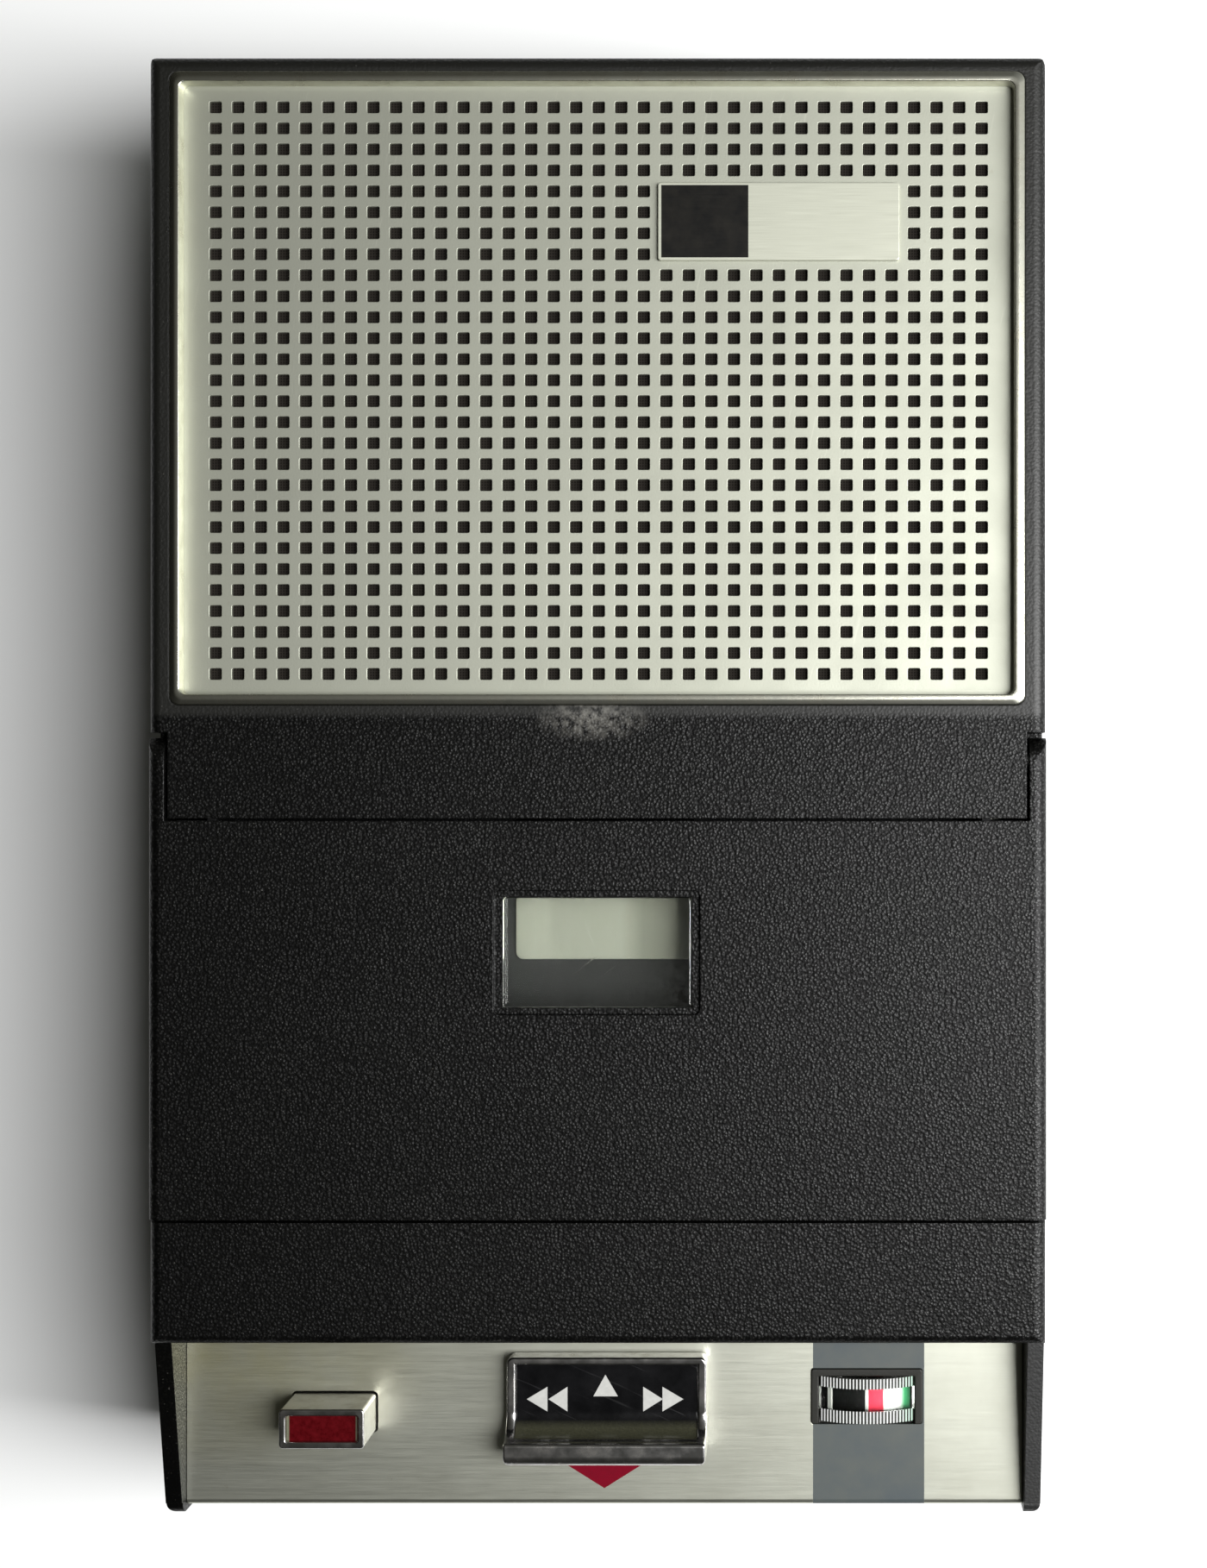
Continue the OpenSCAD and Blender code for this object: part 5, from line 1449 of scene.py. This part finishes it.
@dataclass
class Works:
    """Everything inside: deck, drive, heads, electrics, loudspeaker and battery bay."""

    finishes: dict[str, Finish] = field(default_factory=lambda: {
        "cassette_tray": INSIDE, "deck_tongue": TONGUE, "chassis_plate": ZINC,
        "supply_spindle": HUB, "takeup_spindle": HUB, "spindle_bushes": BRONZE,
        "capstan": CHROME, "flywheel": TURNED, "flywheel_bridge": ZINC, "idler_wheel": RUBBER,
        "drive_motor": ZINC, "motor_bracket": ZINC, "motor_pulley": BRONZE,
        "drive_belt": RUBBER, "head_carriage": ZINC, "tape_head": TURNED,
        "erase_head": METER_BODY, "pinch_arm": ZINC, "pinch_roller": RUBBER,
        "circuit_board": BoardLaminate("board_laminate"), "board_parts": Assorted("assorted"),
        "volume_wheel": KNOB, "level_wheel": KNOB, "level_controls": ZINC,
        "speaker_frame": ZINC, "speaker_magnet": MAGNET, "speaker_cone": PulpCone("pulp_cone"),
        "battery_box": INSIDE, "battery_cells": CellJacket("cell_jacket"),
        "battery_contacts": BRONZE, "din_sockets": SOCKET, "power_socket": SOCKET})

    def build(self) -> None:
        """Dresses every inside node."""
        for node, finish in self.finishes.items():
            dress(node, finish)


@dataclass
class Studio:
    """Camera, pale floor and soft light, as in the photograph."""

    eye: Triple = (29.6, 1.35, 363.0)
    sensor: float = 36.0
    lens: float = 53.94
    shift: Pair = (-0.1397, 0.0006)
    seen: Pair = (10.0, 10000.0)
    floor_colour: Colour = (0.90, 0.905, 0.90)
    floor_reach: float = 3000.0
    floor_z: float = -0.05
    floor_clouds: float = 160.0
    floor_shade: float = 0.97
    floor_roughness: float = 0.6
    lamp_at: Triple = (430, -40, 560)
    lamp_aim: Triple = (10, 0, 20)
    lamp_size: Pair = (240, 700)
    lamp_power: float = 10.4
    room_light: Pair = (0.004, 0.62)
    room_falloff: float = 3.0
    room_depth: tuple[float, float, float, float] = (-0.6, 0.2, 0.35, 1.0)
    warm_to_cool: Pair = (-0.6, 0.3)
    warm: Colour = (1.0, 0.95, 0.68)
    cool: Colour = (0.97, 1.0, 0.97)

    def build(self) -> None:
        """Sets up the camera, the floor, the lamp and the world."""
        self.camera()
        self.floor()
        self.lamp()
        self.world()
        bpy.context.scene.view_settings.view_transform = "Standard"

    def camera(self) -> None:
        """Places the camera straight above the part."""
        data = bpy.data.cameras.new("camera")
        data.sensor_fit = "AUTO"
        data.sensor_width = self.sensor
        data.lens = self.lens
        data.shift_x, data.shift_y = self.shift
        data.clip_start, data.clip_end = (reach * MM for reach in self.seen)
        camera = linked("camera", data)
        camera.location = Vector(self.eye) * MM
        bpy.context.scene.camera = camera

    def floor(self) -> None:
        """Lays a pale floor under the feet."""
        bm = bmesh.new()
        bmesh.ops.create_grid(bm, x_segments=1, y_segments=1, size=self.floor_reach * MM)
        mesh = bpy.data.meshes.new("floor")
        bm.to_mesh(mesh)
        bm.free()
        floor = linked("floor", mesh)
        floor.location.z = self.floor_z * MM
        sheet = Sheet("pale_floor")
        sheet.set(Base_Color=sheet.blend(sheet.noise(self.floor_clouds, 2.0),
                                         self.floor_colour,
                                         toned(self.floor_colour, self.floor_shade)),
                  Roughness=self.floor_roughness)
        mesh.materials.append(sheet.material)

    def lamp(self) -> None:
        """Hangs the one soft rectangular lamp at the right."""
        data = bpy.data.lights.new("window_light", "AREA")
        data.shape = "RECTANGLE"
        data.size, data.size_y = (side * MM for side in self.lamp_size)
        data.energy = self.lamp_power
        lamp = linked("window_light", data)
        lamp.location = Vector(self.lamp_at) * MM
        lamp.rotation_mode = "QUATERNION"
        towards = Vector(self.lamp_aim) - Vector(self.lamp_at)
        lamp.rotation_quaternion = towards.to_track_quat("-Z", "Y")

    def world(self) -> None:
        """Makes the room: bright low at the right, dim and warm at the left and in front."""
        world = bpy.data.worlds.new("room")
        world.use_nodes = True
        room = Wiring(world.node_tree)
        x, y, _ = room.parts(room.node("ShaderNodeTexCoord").outputs["Generated"])
        side = x.spread(-1.0, 1.0).step("POWER", self.room_falloff)
        back = room.tree.nodes["Background"].inputs
        room.feed(back["Strength"], side.spread(0.0, 1.0, *self.room_light)
                  * y.spread(*self.room_depth))
        room.feed(back["Color"], room.blend(x.spread(*self.warm_to_cool), self.warm, self.cool))
        bpy.context.scene.world = world


def main() -> None:
    """Builds every sub-assembly round the frame, then the studio."""
    logging.basicConfig(level=logging.INFO, format="%(name)s: %(message)s")
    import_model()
    for part in (Case(), Grille(), Lid(), ControlPanel(), Key(), RecordButton(), Meter(),
                 Works()):
        log.info("building %s", type(part).__name__)
        part.build()
    Studio().build()


if __name__ == "__main__":
    main()
